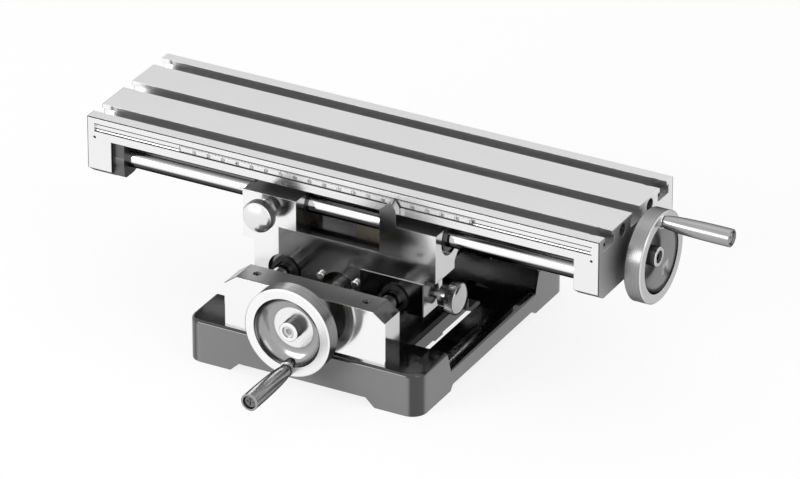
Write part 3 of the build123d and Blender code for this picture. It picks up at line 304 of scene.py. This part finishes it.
class Finish:
    """A material under construction: a Principled shader with a few helpers round it.

    Bounds, centres and depths are in millimetres. As a colour, a plain number stands for a neutral one.
    """

    def __init__(self, name):
        self.material = bpy.data.materials.new(name)
        self.material.use_nodes = True
        self.tree = self.material.node_tree
        self.shader = self.tree.nodes["Principled BSDF"]
        self.texture = self.tree.nodes.new("ShaderNodeTexCoord")
        self.coordinates = self.texture.outputs["Object"]

    def set(self, **values):
        for socket, value in values.items():
            self.shader.inputs[socket.replace("_", " ")].default_value = value

    def link(self, source, target):
        self.tree.links.new(source, target)

    def feed(self, value, socket):
        """A number is set on the socket, and an output is linked to it."""
        if isinstance(value, (int, float)):
            socket.default_value = value
        else:
            self.link(value, socket)

    def math(self, operation, first, second=0.0):
        node = self.tree.nodes.new("ShaderNodeMath")
        node.operation = operation
        self.feed(first, node.inputs[0])
        self.feed(second, node.inputs[1])
        return node.outputs[0]

    def absolute(self, value):
        return self.math("ABSOLUTE", value)

    def spread(self, value, low, high, to_low, to_high):
        """Take a range of the value to another range, and hold it at the ends."""
        node = self.tree.nodes.new("ShaderNodeMapRange")
        bounds = {"From Min": low, "From Max": high, "To Min": to_low, "To Max": to_high}
        for socket, bound in bounds.items():
            self.feed(bound, node.inputs[socket])
        self.link(value, node.inputs["Value"])
        return node.outputs["Result"]

    def mixed(self, factor, first, second):
        """A number that goes from the first to the second with the factor."""
        return self.spread(factor, 0.0, 1.0, first, second)

    def fade(self, value, span, first, second):
        """A number that goes from the first to the second between two places."""
        low, high = span
        return self.spread(value, low * MM, high * MM, first, second)

    def above(self, value, bound):
        """One where a place lies past a bound."""
        return self.math("GREATER_THAN", value, bound * MM)

    def below(self, value, bound):
        """One where a place lies short of a bound."""
        return self.math("LESS_THAN", value, bound * MM)

    def both(self, *masks):
        """One where every mask is."""
        whole = masks[0]
        for mask in masks[1:]:
            whole = self.math("MULTIPLY", whole, mask)
        return whole

    def either(self, *masks):
        """One where any mask is."""
        whole = masks[0]
        for mask in masks[1:]:
            whole = self.math("MAXIMUM", whole, mask)
        return whole

    def between(self, value, low, high):
        return self.both(self.above(value, low), self.below(value, high))

    def mapped(self, scale=(1, 1, 1), offset=(0, 0, 0)):
        node = self.tree.nodes.new("ShaderNodeMapping")
        node.inputs["Location"].default_value = offset
        node.inputs["Scale"].default_value = scale
        self.link(self.coordinates, node.inputs["Vector"])
        return node.outputs["Vector"]

    def axes(self, vector):
        node = self.tree.nodes.new("ShaderNodeSeparateXYZ")
        self.link(vector, node.inputs[0])
        return node.outputs

    def places(self, centre=(0, 0, 0)):
        """X, Y and Z of the surface, in metres from a centre."""
        return self.axes(self.mapped(offset=[-value * MM for value in centre]))

    def normal(self):
        """The three parts of the surface's own direction."""
        return self.axes(self.texture.outputs["Normal"])

    def radius_about(self, axis, centre):
        """Distance from an axis through a centre."""
        x, y, z = self.places(centre)
        pair = {"X": (y, z), "Y": (x, z), "Z": (x, y)}[axis]
        squares = [self.math("MULTIPLY", value, value) for value in pair]
        return self.math("SQRT", self.math("ADD", *squares))

    def along(self, value):
        """A vector that varies only with one value, for grooves and rings."""
        node = self.tree.nodes.new("ShaderNodeCombineXYZ")
        self.link(value, node.inputs[0])
        return node.outputs[0]

    def noise(self, scale, detail=2.0, vector=None):
        node = self.tree.nodes.new("ShaderNodeTexNoise")
        node.inputs["Scale"].default_value = scale
        node.inputs["Detail"].default_value = detail
        self.link(self.coordinates if vector is None else vector, node.inputs["Vector"])
        return node.outputs["Fac"]

    def brushed(self, stretch, detail=2.0):
        """Fine scratches that run along X."""
        return self.noise(1.0, detail, self.mapped(scale=stretch))

    def blend(self, factor, first, second):
        """A colour that goes from the first to the second with the factor."""
        node = self.tree.nodes.new("ShaderNodeMix")
        node.data_type = "RGBA"
        for socket, value in (("A", first), ("B", second)):
            if isinstance(value, float):
                value = shade(value)
            if isinstance(value, tuple):
                node.inputs[socket].default_value = (*value, 1)
            else:
                self.link(value, node.inputs[socket])
        self.link(factor, node.inputs["Factor"])
        return node.outputs["Result"]

    def grey(self, value):
        """A number as a grey."""
        node = self.tree.nodes.new("ShaderNodeCombineColor")
        for socket in ("Red", "Green", "Blue"):
            self.link(value, node.inputs[socket])
        return node.outputs["Color"]

    def colour(self, value):
        self.link(value, self.shader.inputs["Base Color"])

    def roughness(self, value):
        self.link(value, self.shader.inputs["Roughness"])

    def uneven(self, noise, low, high):
        """The middle of a noise, spread over a range."""
        return self.spread(noise, 0.3, 0.7, low, high)

    def relief(self, height, depth, rounding=0.0):
        """Bump from a height, over edges that catch the light as if rounded."""
        bump = self.tree.nodes.new("ShaderNodeBump")
        bump.inputs["Strength"].default_value = 1.0
        bump.inputs["Distance"].default_value = depth * MM
        self.link(height, bump.inputs["Height"])
        if rounding:
            rounded = self.tree.nodes.new("ShaderNodeBevel")
            rounded.samples = 4
            rounded.inputs["Radius"].default_value = rounding * MM
            self.link(rounded.outputs["Normal"], bump.inputs["Normal"])
        self.link(bump.outputs["Normal"], self.shader.inputs["Normal"])


def base_enamel():
    """Black stoving enamel: deep gloss black inside and on the corners, with the flat outer walls painted a
    lighter grey as a painted reflection.
    """
    finish = Finish("base_enamel")
    finish.set(IOR=1.75)
    flow = finish.noise(240.0)
    grime = finish.noise(35.0, 4.0)
    x, y, _ = finish.places()
    out_x, out_y, out_z = finish.normal()
    outward = finish.math("ADD", finish.math("MULTIPLY", x, out_x), finish.math("MULTIPLY", y, out_y))
    upright = finish.spread(finish.absolute(out_z), 0.25, 0.6, 1.0, 0.0)
    square = finish.either(finish.absolute(out_x), finish.absolute(out_y))
    flat = finish.spread(square, 0.93, 0.985, 0.0, 1.0)
    outer_wall = finish.both(finish.above(outward, OUTER_WALL), upright, flat)
    deep_black = finish.blend(grime, 0.004, 0.008)
    # Painted reflection: a lighter grey on the flat outer walls.
    painted_wall_reflection = finish.blend(grime, (0.235, 0.235, 0.237), (0.275, 0.275, 0.277))
    finish.colour(finish.blend(outer_wall, deep_black, painted_wall_reflection))
    finish.roughness(finish.uneven(grime, 0.07, 0.13))
    finish.relief(flow, 0.02, rounding=0.15)
    return finish.material


def worn_lines(finish, across, deep, z):
    """Painted shade: dark lines along the front groove and along the table's sharp edges."""
    lower_lip = finish.between(z, GROOVE_BOTTOM - 0.5, GROOVE_BOTTOM + 0.02)
    upper_lip = finish.between(z, GROOVE_TOP - 0.05, GROOVE_TOP + 0.55)
    lips = finish.both(finish.either(lower_lip, upper_lip), finish.above(deep, TABLE_HALF_WIDTH - 0.8))
    corner = finish.both(
        finish.between(z, GROOVE_BOTTOM + 0.7, GROOVE_BOTTOM + 1.2),
        finish.between(deep, GROOVE_FLOOR - 0.2, GROOVE_FLOOR + 0.2),
    )
    groove = finish.both(finish.either(lips, corner), finish.below(across, GROOVE_END))
    top_edge = finish.both(
        finish.between(z, TABLE_TOP - 0.6, TABLE_TOP - 0.05), finish.above(deep, TABLE_HALF_WIDTH - 0.6)
    )
    end_edge = finish.both(
        finish.above(across, TABLE_HALF_LENGTH - 0.4), finish.above(deep, TABLE_HALF_WIDTH - 0.5)
    )
    return finish.either(groove, top_edge, end_edge)


def milled_aluminium():
    """The table: front painted brighter than the fly-cut top, painted shade on the dull ends, T-slots, feet
    and leg insides, painted light at the slots' left mouths and the ends' rear, painted shade lines at the
    edges.
    """
    finish = Finish("milled_aluminium")
    finish.set(Metallic=1.0, Specular_Tint=(0.3, 0.3, 0.3, 1))
    x, y, z = finish.places((TABLE_X, SADDLE_Y, 0))
    across = finish.absolute(x)
    deep = finish.absolute(y)
    grain = finish.brushed((6, 900, 900), 3.0)
    cloud = finish.noise(14.0, 3.0)

    on_top = finish.above(z, TABLE_TOP - 0.2)
    on_end = finish.above(across, TABLE_HALF_LENGTH - 0.35)
    in_slot = finish.both(
        finish.between(z, PLATE_BOTTOM + 0.4, TABLE_TOP - 0.4), finish.below(deep, TABLE_HALF_WIDTH - 2)
    )
    inside_leg = finish.both(
        finish.below(z, PLATE_BOTTOM - 0.2), finish.below(deep, TABLE_HALF_WIDTH - 0.1)
    )
    foot = finish.below(z, LEG_FRONT_BOTTOM - 0.1)
    # Painted light at the T-slots' left mouths.
    slot_mouth = finish.fade(x, SLOT_PAINTED_LIGHT, 1.0, 0.0)
    # Painted reflection: the ends grow brighter towards their rear.
    bright_end = finish.fade(y, END_PAINTED_LIGHT, 0.0, 1.0)

    # Painted light: the front is painted brighter than the fly-cut top.
    front_painted_light = finish.blend(cloud, 0.84, 0.92)
    fly_cut = finish.blend(cloud, 0.76, 0.83)
    foot_painted_shade = finish.blend(cloud, 0.27, 0.35)
    # Painted shade in the T-slots, with painted light at their left mouths.
    slot_painted_shade_and_light = finish.blend(slot_mouth, finish.blend(cloud, 0.42, 0.52), 0.95)
    # Painted shade on the ends, turning to painted reflection towards their rear.
    end_painted_shade_and_light = finish.blend(bright_end, finish.blend(cloud, 0.42, 0.50), 0.90)
    colour = finish.blend(on_top, front_painted_light, fly_cut)
    colour = finish.blend(in_slot, colour, slot_painted_shade_and_light)
    # Painted shade on the feet and the leg insides.
    colour = finish.blend(foot, colour, foot_painted_shade)
    colour = finish.blend(inside_leg, colour, 0.15)
    colour = finish.blend(on_end, colour, end_painted_shade_and_light)
    # Painted shade: the dark lines along the groove and the sharp edges.
    finish.colour(finish.blend(worn_lines(finish, across, deep, z), colour, 0.04))

    polished = finish.uneven(grain, 0.16, 0.24)
    cut = finish.uneven(grain, 0.30, 0.42)
    rough = finish.mixed(finish.either(on_top, in_slot, inside_leg, foot), polished, cut)
    finish.roughness(finish.mixed(on_end, rough, 0.55))
    finish.relief(grain, 0.004, rounding=0.35)
    return finish.material


def saddle_iron():
    """The saddle and the clamp block: painted shade on the top, in the recess and on the clamp, and painted
    reflection bright on the left, rising towards the far right and along the web.
    """
    finish = Finish("saddle_iron")
    finish.set(Metallic=1.0)
    cloud = finish.noise(18.0, 4.0)
    grain = finish.brushed((8, 700, 700))
    x, y, z = finish.places()
    out_x, out_y, out_z = finish.normal()
    to_front = finish.math("LESS_THAN", out_y, -0.7)
    not_to_right = finish.math("LESS_THAN", out_x, 0.7)

    on_top = finish.both(finish.above(z, SADDLE_TOP - 0.5), finish.math("GREATER_THAN", out_z, 0.7))
    on_left = finish.both(finish.below(x, RECESS_LEFT - 0.1), to_front)
    on_right = finish.both(finish.above(x, RECESS_RIGHT - 0.1), to_front)
    in_recess = finish.both(finish.above(y, SADDLE_Y - SADDLE_FRONT + 1.5), to_front)
    on_web = finish.both(finish.below(z, WEB_TOP), finish.above(x, WEB_LEFT), not_to_right)
    on_clamp = finish.both(
        finish.below(z, CLAMP_BLOCK_TOP - 0.5), finish.above(x, CLAMP_BLOCK_LEFT), to_front
    )
    # Painted reflection that grows brighter towards the right front and along the web.
    right_painted_reflection_level = finish.fade(x, RIGHT_PAINTED_REFLECTION, 0.22, 0.90)
    web_painted_reflection_level = finish.fade(x, WEB_PAINTED_REFLECTION, 0.19, 0.60)

    # Painted reflection on the left face, painted shade on the top, in the recess and on the clamp's front.
    colour = finish.blend(on_left, finish.blend(cloud, 0.54, 0.64), 0.92)
    colour = finish.blend(on_right, colour, finish.grey(right_painted_reflection_level))
    colour = finish.blend(in_recess, colour, 0.24)
    colour = finish.blend(on_web, colour, finish.grey(web_painted_reflection_level))
    colour = finish.blend(on_clamp, colour, 0.10)
    finish.colour(finish.blend(on_top, colour, finish.blend(cloud, 0.21, 0.27)))
    finish.roughness(finish.mixed(on_top, finish.uneven(cloud, 0.13, 0.21), 0.4))
    finish.relief(grain, 0.003, rounding=0.18)
    return finish.material


def bridge_steel():
    """The rod bridges: polished front and back, painted shade on the sides and a darker painted shade on
    the ground top and its corners.
    """
    finish = Finish("bridge_steel")
    finish.set(Metallic=1.0)
    z = finish.places()[2]
    out_x, _, out_z = finish.normal()
    near_top = BRIDGE_TOP - 0.2
    on_top = finish.above(z, near_top)
    on_corner = finish.both(
        finish.between(z, BRIDGE_SHOULDER, near_top), finish.math("GREATER_THAN", out_z, 0.25)
    )
    on_side = finish.math("GREATER_THAN", finish.absolute(out_x), 0.85)
    cloud = finish.noise(22.0, 4.0)
    grain = finish.brushed((8, 700, 700))
    # Painted shade: the sides darker, the top and its corners nearly black.
    colour = finish.blend(on_side, finish.blend(cloud, 0.90, 0.96), 0.60)
    colour = finish.blend(on_corner, colour, 0.13)
    finish.colour(finish.blend(on_top, colour, finish.blend(cloud, 0.090, 0.125)))
    finish.roughness(finish.mixed(on_top, finish.uneven(cloud, 0.08, 0.14), 0.38))
    finish.relief(grain, 0.0015, rounding=0.18)
    return finish.material


def rod_chrome():
    """Ground and chromed bar: bright along its front, with a painted dark reflection along its top and
    painted shade along its underside.
    """
    finish = Finish("rod_chrome")
    finish.set(Metallic=1.0, Specular_Tint=(0.05, 0.05, 0.05, 1))
    film = finish.noise(30.0, 3.0)
    scratches = finish.noise(600.0)
    up = finish.normal()[2]
    # Painted dark reflection along the top and painted shade along the underside.
    underside = finish.spread(up, -0.12, 0.06, 1.0, 0.0)
    upper_side = finish.spread(up, 0.56, 0.80, 0.0, 1.0)
    chrome = finish.blend(film, (0.90, 0.90, 0.91), (0.96, 0.96, 0.97))
    colour = finish.blend(upper_side, chrome, 0.24)
    finish.colour(finish.blend(underside, colour, finish.blend(film, 0.06, 0.10)))
    finish.roughness(finish.uneven(film, 0.07, 0.13))
    finish.relief(scratches, 0.0008)
    return finish.material


def grip_chrome():
    """Satin plating of the spinning grips."""
    finish = Finish("grip_chrome")
    finish.set(Metallic=1.0, Specular_Tint=(0.05, 0.05, 0.05, 1))
    film = finish.noise(30.0, 3.0)
    finish.colour(finish.blend(film, 0.32, 0.40))
    finish.roughness(finish.uneven(film, 0.20, 0.27))
    finish.relief(finish.noise(600.0), 0.0008)
    return finish.material


def turned_steel(name, axis, centre, face_sign, rim, dish, floor, hub):
    """A handwheel: faced rim, a dish of painted shade round a floor whose level is a painted reflection,
    painted shade on the hub and outer side, fine rings from the lathe all over.
    """
    finish = Finish(name)
    finish.set(Metallic=1.0, Specular_Tint=(0.3, 0.3, 0.3, 1))
    index = "XYZ".index(axis)
    radius = finish.radius_about(axis, centre)
    length = finish.places()[index]
    depth = finish.math("MULTIPLY", finish.math("SUBTRACT", centre[index] * MM, length), face_sign)
    hub_edge = WHEEL_HUB_RADIUS + 0.15
    in_bowl = finish.between(radius, hub_edge, WHEEL_RIM_INNER + 0.05)
    in_dish = finish.both(in_bowl, finish.above(depth, 0.25))
    on_floor = finish.both(in_dish, finish.below(radius, WHEEL_DISH_RADIUS - 0.1))
    at_hub = finish.between(radius, WHEEL_HUB_RADIUS - 0.2, hub_edge)
    on_hub = finish.both(at_hub, finish.above(depth, WHEEL_HUB_SETBACK + 0.4))
    on_side = finish.above(radius, WHEEL_RADIUS - 0.1)
    turned = finish.along(finish.math("ADD", radius, length))
    rings = finish.noise(2600.0, 2.0, turned)
    bands = finish.noise(420.0, 2.0, turned)
    cloud = finish.noise(40.0, 3.0)
    # Painted light and shade: each zone gets its own level, set to how light falls on this wheel.
    faced = finish.blend(cloud, rim - 0.06, rim)
    colour = finish.blend(in_dish, faced, finish.blend(bands, dish - 0.1, dish + 0.1))
    colour = finish.blend(on_floor, colour, finish.blend(bands, floor - 0.08, floor))
    colour = finish.blend(on_hub, colour, hub)
    finish.colour(finish.blend(on_side, colour, finish.blend(bands, 0.22, 0.36)))
    finish.roughness(finish.mixed(in_dish, finish.uneven(rings, 0.20, 0.34), 0.19))
    finish.relief(rings, 0.006, rounding=0.25)
    return finish.material


def turned_bar(name, axis, centre):
    """Collars and screw journals, with the rings that a lathe leaves round one axis."""
    finish = Finish(name)
    finish.set(Metallic=1.0)
    length = finish.places()["XYZ".index(axis)]
    turned = finish.along(finish.math("ADD", finish.radius_about(axis, centre), length))
    rings = finish.noise(2600.0, 2.0, turned)
    finish.colour(finish.blend(finish.noise(60.0, 3.0), 0.46, 0.58))
    finish.roughness(finish.uneven(rings, 0.18, 0.32))
    finish.relief(rings, 0.005, rounding=0.2)
    return finish.material


def plain_steel(name, dark, light, rough):
    """Small screws, collars and pins."""
    finish = Finish(name)
    finish.set(Metallic=1.0)
    cloud = finish.noise(180.0, 3.0)
    finish.colour(finish.blend(cloud, dark, light))
    finish.roughness(finish.uneven(cloud, rough * 0.8, rough * 1.2))
    finish.relief(finish.noise(900.0), 0.003, rounding=0.12)
    return finish.material


def oiled_bronze():
    """Bearing bronze, darkened by oil."""
    finish = Finish("bronze")
    finish.set(Metallic=1.0)
    cloud = finish.noise(120.0, 4.0)
    finish.colour(finish.blend(cloud, (0.12, 0.11, 0.09), (0.22, 0.20, 0.16)))
    finish.roughness(finish.uneven(cloud, 0.22, 0.4))
    finish.relief(finish.noise(1400.0), 0.004)
    return finish.material


def black_polymer():
    """Sliding bushes of black moulded plastic, with a faint moulded grain."""
    finish = Finish("black_polymer")
    finish.set(IOR=1.5)
    worn = finish.noise(130.0, 3.0)
    finish.colour(finish.blend(worn, 0.010, 0.024))
    finish.roughness(finish.uneven(worn, 0.30, 0.48))
    finish.relief(finish.noise(1800.0, 3.0), 0.01, rounding=0.15)
    return finish.material


def ruler_plate():
    """Satin anodised strip."""
    finish = Finish("ruler_plate")
    finish.set(Metallic=0.8)
    grain = finish.brushed((10, 1200, 1200))
    finish.colour(finish.blend(grain, 0.88, 0.95))
    finish.roughness(finish.uneven(grain, 0.2, 0.3))
    finish.relief(grain, 0.002)
    return finish.material


def ruler_ink():
    """Dark fill in the engraved marks."""
    finish = Finish("ruler_ink")
    wear = finish.noise(900.0, 3.0)
    finish.colour(finish.blend(wear, 0.004, 0.016))
    finish.roughness(finish.uneven(wear, 0.55, 0.7))
    return finish.material


def knurled_steel(name, axis, centre, face_sign, dome):
    """Knob steel: the dome at a level of painted light, with painted shade in the knurling, darkest in its
    valleys, and on the neck.
    """
    finish = Finish(name)
    finish.set(Metallic=1.0)
    index = "XYZ".index(axis)
    radius = finish.radius_about(axis, centre)
    length = finish.places()[index]
    height = finish.math("MULTIPLY", finish.math("SUBTRACT", length, centre[index] * MM), face_sign)
    behind_dome = finish.below(height, KNOB_DOME_START - 0.15)
    on_neck = finish.below(radius, KNOB_NECK + 0.2)
    cloud = finish.noise(260.0, 3.0)
    # Painted shade in the knurling's valleys and on the neck, painted light on the dome.
    crest = finish.fade(radius, (KNOB_RADIUS - 0.6, KNOB_RADIUS), 0.02, 0.26)
    grip = finish.blend(on_neck, finish.grey(crest), 0.34)
    finish.colour(finish.blend(behind_dome, finish.blend(cloud, dome - 0.1, dome), grip))
    finish.roughness(finish.uneven(cloud, 0.14, 0.26))
    finish.relief(finish.noise(1500.0), 0.002)
    return finish.material


def thread_steel():
    """Oiled rolled thread."""
    finish = Finish("thread_steel")
    finish.set(Metallic=1.0)
    cloud = finish.noise(90.0, 4.0)
    finish.colour(finish.blend(cloud, 0.28, 0.46))
    finish.roughness(finish.uneven(cloud, 0.16, 0.34))
    finish.relief(finish.noise(1300.0), 0.003)
    return finish.material


# Ruler marks

def ruler_marks(ink):
    """One fine line for each millimetre, longer at fives and tens."""
    bm = bmesh.new()
    for step in range(RULER_LENGTH + 1):
        length = next(value for whole, value in MARK_LENGTHS.items() if step % whole == 0)
        made = bmesh.ops.create_cube(bm, size=1.0)["verts"]
        bmesh.ops.scale(bm, verts=made, vec=(MARK_WIDTH, MARK_THICKNESS, length))
        centre = (RULER_ZERO_X + step, RULER_FACE_Y, RULER_TOP_Z - MARK_MARGIN - length / 2)
        bmesh.ops.translate(bm, verts=made, vec=centre)
    place(bm, Matrix.Identity(4))
    marks = object_from(bm, "ruler_marks")
    marks.data.materials.append(ink)
    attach(marks, "table")


def number_mesh(text):
    """The outline of a number as a thin closed solid lying in X and Y."""
    curve = bpy.data.curves.new("number", "FONT")
    curve.body = text
    curve.size = NUMBER_HEIGHT * FONT_TO_FIGURE
    curve.align_x = "CENTER"
    curve.extrude = MARK_THICKNESS / 2
    curve.offset = NUMBER_STROKE
    curve.resolution_u = 3
    holder = bpy.data.objects.new("number", curve)
    bpy.context.scene.collection.objects.link(holder)
    bpy.context.view_layer.update()
    graph = bpy.context.evaluated_depsgraph_get()
    mesh = bpy.data.meshes.new_from_object(holder.evaluated_get(graph))
    bpy.data.objects.remove(holder)
    bpy.data.curves.remove(curve)
    return mesh


def ruler_numbers(ink):
    """Plain millimetre figures under every tenth line."""
    bm = bmesh.new()
    for step in range(0, RULER_LENGTH + 1, RULER_STEP):
        text = str(step)
        mesh = number_mesh(text)
        known = set(bm.verts)
        bm.from_mesh(mesh)
        bpy.data.meshes.remove(mesh)
        made = [vert for vert in bm.verts if vert not in known]
        squeeze = Matrix.Diagonal((NUMBER_WIDTHS[len(text)], 1, 1, 1))
        upright = facing("X", 90, (RULER_ZERO_X + step, RULER_FACE_Y, NUMBER_BASE_Z))
        bmesh.ops.transform(bm, matrix=upright @ squeeze, verts=made)
    bmesh.ops.remove_doubles(bm, verts=bm.verts, dist=WELD)
    place(bm, Matrix.Identity(4))
    numbers = object_from(bm, "ruler_numbers")
    numbers.data.materials.append(ink)
    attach(numbers, "table")


def make_ruler():
    ink = ruler_ink()
    ruler_marks(ink)
    ruler_numbers(ink)


# Lead screws

def thread_ridge(bm, start, end, hand):
    """A closed helical ridge about Z between two heights."""
    turns = int((end - start) / THREAD_PITCH) - 1
    buried = THREAD_ROOT - THREAD_BURIED
    profile = [
        (buried, -THREAD_ROOT_HALF), (THREAD_ROOT, -THREAD_ROOT_HALF), (THREAD_CREST, -THREAD_CREST_HALF),
        (THREAD_CREST, THREAD_CREST_HALF), (THREAD_ROOT, THREAD_ROOT_HALF), (buried, THREAD_ROOT_HALF),
    ]
    first = start + THREAD_PITCH
    verts = [bm.verts.new((radius, 0, first + height)) for radius, height in profile]
    ring = [bm.edges.new((verts[i - 1], verts[i])) for i in range(len(verts))]
    bmesh.ops.spin(
        bm, geom=verts + ring, cent=(0, 0, 0), axis=(0, 0, 1), angle=hand * TURN, steps=THREAD_STEPS,
        dvec=(0, 0, THREAD_PITCH / THREAD_STEPS),
    )
    one_turn = list(bm.faces)
    for turn in range(1, turns):
        copied = bmesh.ops.duplicate(bm, geom=one_turn)["geom"]
        lifted = [item for item in copied if isinstance(item, bmesh.types.BMVert)]
        bmesh.ops.translate(bm, verts=lifted, vec=(0, 0, turn * THREAD_PITCH))
    bmesh.ops.remove_doubles(bm, verts=bm.verts, dist=WELD)
    open_ends = [edge for edge in bm.edges if edge.is_boundary]
    bmesh.ops.holes_fill(bm, edges=open_ends, sides=len(profile))
    bmesh.ops.recalc_face_normals(bm, faces=bm.faces)


def lead_screw(name, node, body, matrix, lengths, hand, steel):
    """A threaded bar with plain journals. lengths are where each diameter starts and ends along the bar."""
    wheel_end, shoulder, thread_start, thread_end, far_end = lengths
    bm = bmesh.new()
    thread_ridge(bm, thread_start, thread_end, hand)
    core = [
        (0, wheel_end), (JOURNAL_RADIUS, wheel_end), (JOURNAL_RADIUS, shoulder), (THREAD_CREST, shoulder),
        (THREAD_CREST, thread_start), (THREAD_ROOT, thread_start + THREAD_RUNOUT),
        (THREAD_ROOT, thread_end - THREAD_RUNOUT), (THREAD_CREST, thread_end), (JOURNAL_RADIUS, thread_end),
        (JOURNAL_RADIUS, far_end), (0, far_end),
    ]
    spin_outline(bm, core, BAR_STEPS)
    place(bm, matrix)
    screw = object_from(bm, name, smooth_angle=40)
    screw.data.materials.append(steel)
    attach(screw, body)
    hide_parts(node)


def make_lead_screws():
    """Each screw is made along Z and laid along its axis. The X screw runs from right to left."""
    steel = thread_steel()
    y_low, y_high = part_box("y_lead_screw")
    x_low, x_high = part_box("x_lead_screw")
    y_lengths = (y_low.y / MM, *Y_SCREW_STEPS, y_high.y / MM)
    x_steps = [-(TABLE_X + step) for step in X_SCREW_STEPS]
    x_lengths = (-x_high.x / MM, *x_steps, -x_low.x / MM)
    along_y = facing("X", -90, (0, 0, Y_SCREW_Z))
    along_x = facing("Y", -90, (0, SADDLE_Y, X_SCREW_Z))
    lead_screw("y_lead_screw_threaded", "y_lead_screw", "y_screw", along_y, y_lengths, LEFT_HAND, steel)
    lead_screw("x_lead_screw_threaded", "x_lead_screw", "x_screw", along_x, x_lengths, RIGHT_HAND, steel)


# Lock knobs

def knob_skin(bm, rings):
    """Grow a skin from ring to ring; each ring is (radius, height, tooth depth)."""
    around = KNOB_TEETH * POINTS_PER_TOOTH
    radius, height, _ = rings[0]
    start = bmesh.ops.create_circle(bm, cap_ends=True, radius=radius, segments=around)["verts"]
    bmesh.ops.translate(bm, verts=start, vec=(0, 0, height))
    edges = list(bm.edges)
    for radius, height, depth in rings[1:]:
        grown = bmesh.ops.extrude_edge_only(bm, edges=edges)["geom"]
        verts = [item for item in grown if isinstance(item, bmesh.types.BMVert)]
        for vert in verts:
            angle = math.atan2(vert.co.y, vert.co.x)
            tooth = 0.5 - 0.5 * math.cos(angle * KNOB_TEETH)
            vert.co = Vector((math.cos(angle), math.sin(angle), 0)) * (radius - depth * tooth)
            vert.co.z = height
        edges = [item for item in grown if isinstance(item, bmesh.types.BMEdge) and item.is_boundary]
    bmesh.ops.contextual_create(bm, geom=edges)
    bmesh.ops.recalc_face_normals(bm, faces=bm.faces)


def knurled_knob(name, node, body, matrix, stem, steel):
    """A domed knob with straight knurling on a short neck and a stem that runs into the casting."""
    rise = KNOB_FACE - KNOB_DOME_START
    ball = (KNOB_RADIUS**2 + rise**2) / (2 * rise)
    rings = [
        (KNOB_STEM, -stem, 0), (KNOB_STEM, KNOB_STANDOFF, 0),
        (KNOB_NECK, KNOB_STANDOFF, 0), (KNOB_NECK, KNOB_GRIP_START, 0),
        (KNOB_RADIUS - 1.2, KNOB_GRIP_START, 0), (KNOB_RADIUS - 0.7, KNOB_GRIP_START + 0.12, 0),
        (KNOB_CREST, KNOB_GRIP_START + 0.7, TOOTH_DEPTH), (KNOB_CREST, KNOB_DOME_START - 0.5, TOOTH_DEPTH),
        (KNOB_RADIUS - 0.6, KNOB_DOME_START - 0.02, 0.02),
    ]
    for share in KNOB_DOME_SHARES:
        radius = KNOB_RADIUS * share
        rings.append((radius, KNOB_FACE - ball + math.sqrt(ball**2 - radius**2), 0))
    bm = bmesh.new()
    knob_skin(bm, rings)
    place(bm, matrix)
    knob = object_from(bm, name, smooth_angle=35)
    knob.data.materials.append(steel)
    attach(knob, body)
    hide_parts(node)


def make_lock_knobs():
    # The two knobs are one part; their dome levels differ as painted light.
    front_steel = knurled_steel("x_knob_steel", "Y", X_LOCK, -1, dome=0.86)
    side_steel = knurled_steel("y_knob_steel", "X", Y_LOCK, 1, dome=0.50)
    to_front = facing("X", 90, X_LOCK)
    to_right = facing("Y", 90, Y_LOCK)
    knurled_knob("x_lock_knob_knurled", "x_lock_knob", "x_lock_knob", to_front, X_LOCK_STEM, front_steel)
    knurled_knob("y_lock_knob_knurled", "y_lock_knob", "y_lock_knob", to_right, Y_LOCK_STEM, side_steel)


# Finishes of the CAD nodes

def node_finishes():
    """Each finish with the nodes that have it; all other nodes are black screws and pins."""
    bright = plain_steel("bright_screws", 0.55, 0.75, 0.22)
    dark = plain_steel("dark_steel", 0.10, 0.26, 0.26)
    # The two wheels are one part; their different levels are painted light, shade and reflection.
    y_wheel = turned_steel(
        "y_wheel_steel", "Y", Y_WHEEL_CENTRE, -1, rim=0.97, dish=0.36, floor=0.92, hub=0.11
    )
    x_wheel = turned_steel(
        "x_wheel_steel", "X", X_WHEEL_CENTRE, 1, rim=0.72, dish=0.24, floor=0.26, hub=0.24
    )
    y_turned = turned_bar("y_turned_steel", "Y", Y_WHEEL_CENTRE)
    x_turned = turned_bar("x_turned_steel", "X", X_WHEEL_CENTRE)
    rods = ["y_guide_rod_left", "y_guide_rod_right", "x_guide_rod_front", "x_guide_rod_rear"]
    screw_bushes = ["y_screw_bush_front", "y_screw_bush_rear", "x_screw_bush_left", "x_screw_bush_right"]
    nuts_and_pads = ["y_feed_nut", "x_feed_nut", "x_lock_pad", "y_lock_pad"]
    return [
        (base_enamel(), ["base_casting"]),
        (milled_aluminium(), ["table_casting"]),
        (saddle_iron(), ["saddle_casting", "clamp_block"]),
        (bridge_steel(), ["front_rod_bridge", "rear_rod_bridge"]),
        (rod_chrome(), rods),
        (grip_chrome(), ["y_handle_grip", "x_handle_grip"]),
        (y_wheel, ["y_handwheel"]),
        (x_wheel, ["x_handwheel"]),
        (y_turned, ["y_thrust_collar", "y_lead_screw"]),
        (x_turned, ["x_thrust_collar", "x_lead_screw"]),
        (bright, ["x_handle_spindle", "y_wheel_screw", "y_nut_screws", "x_lock_knob", "y_lock_knob"]),
        (dark, ["y_handle_spindle"]),
        (ruler_plate(), ["ruler_strip"]),
        (oiled_bronze(), screw_bushes + nuts_and_pads),
        (black_polymer(), ["y_rod_bushes", "x_rod_bushes"]),
    ]


def finish_nodes():
    """Give every CAD node its own finish."""
    finish_of = {name: material for material, names in node_finishes() for name in names}
    black = plain_steel("black_screws", (0.02, 0.02, 0.022), (0.05, 0.05, 0.055), 0.35)
    for name, node in nodes.items():
        node.data.materials.clear()
        node.data.materials.append(finish_of.get(name, black))
        for face in node.data.polygons:
            face.material_index = 0


bpy.context.scene.view_settings.view_transform = "Standard"
set_camera()
set_studio()
finish_nodes()
make_ruler()
make_lead_screws()
make_lock_knobs()
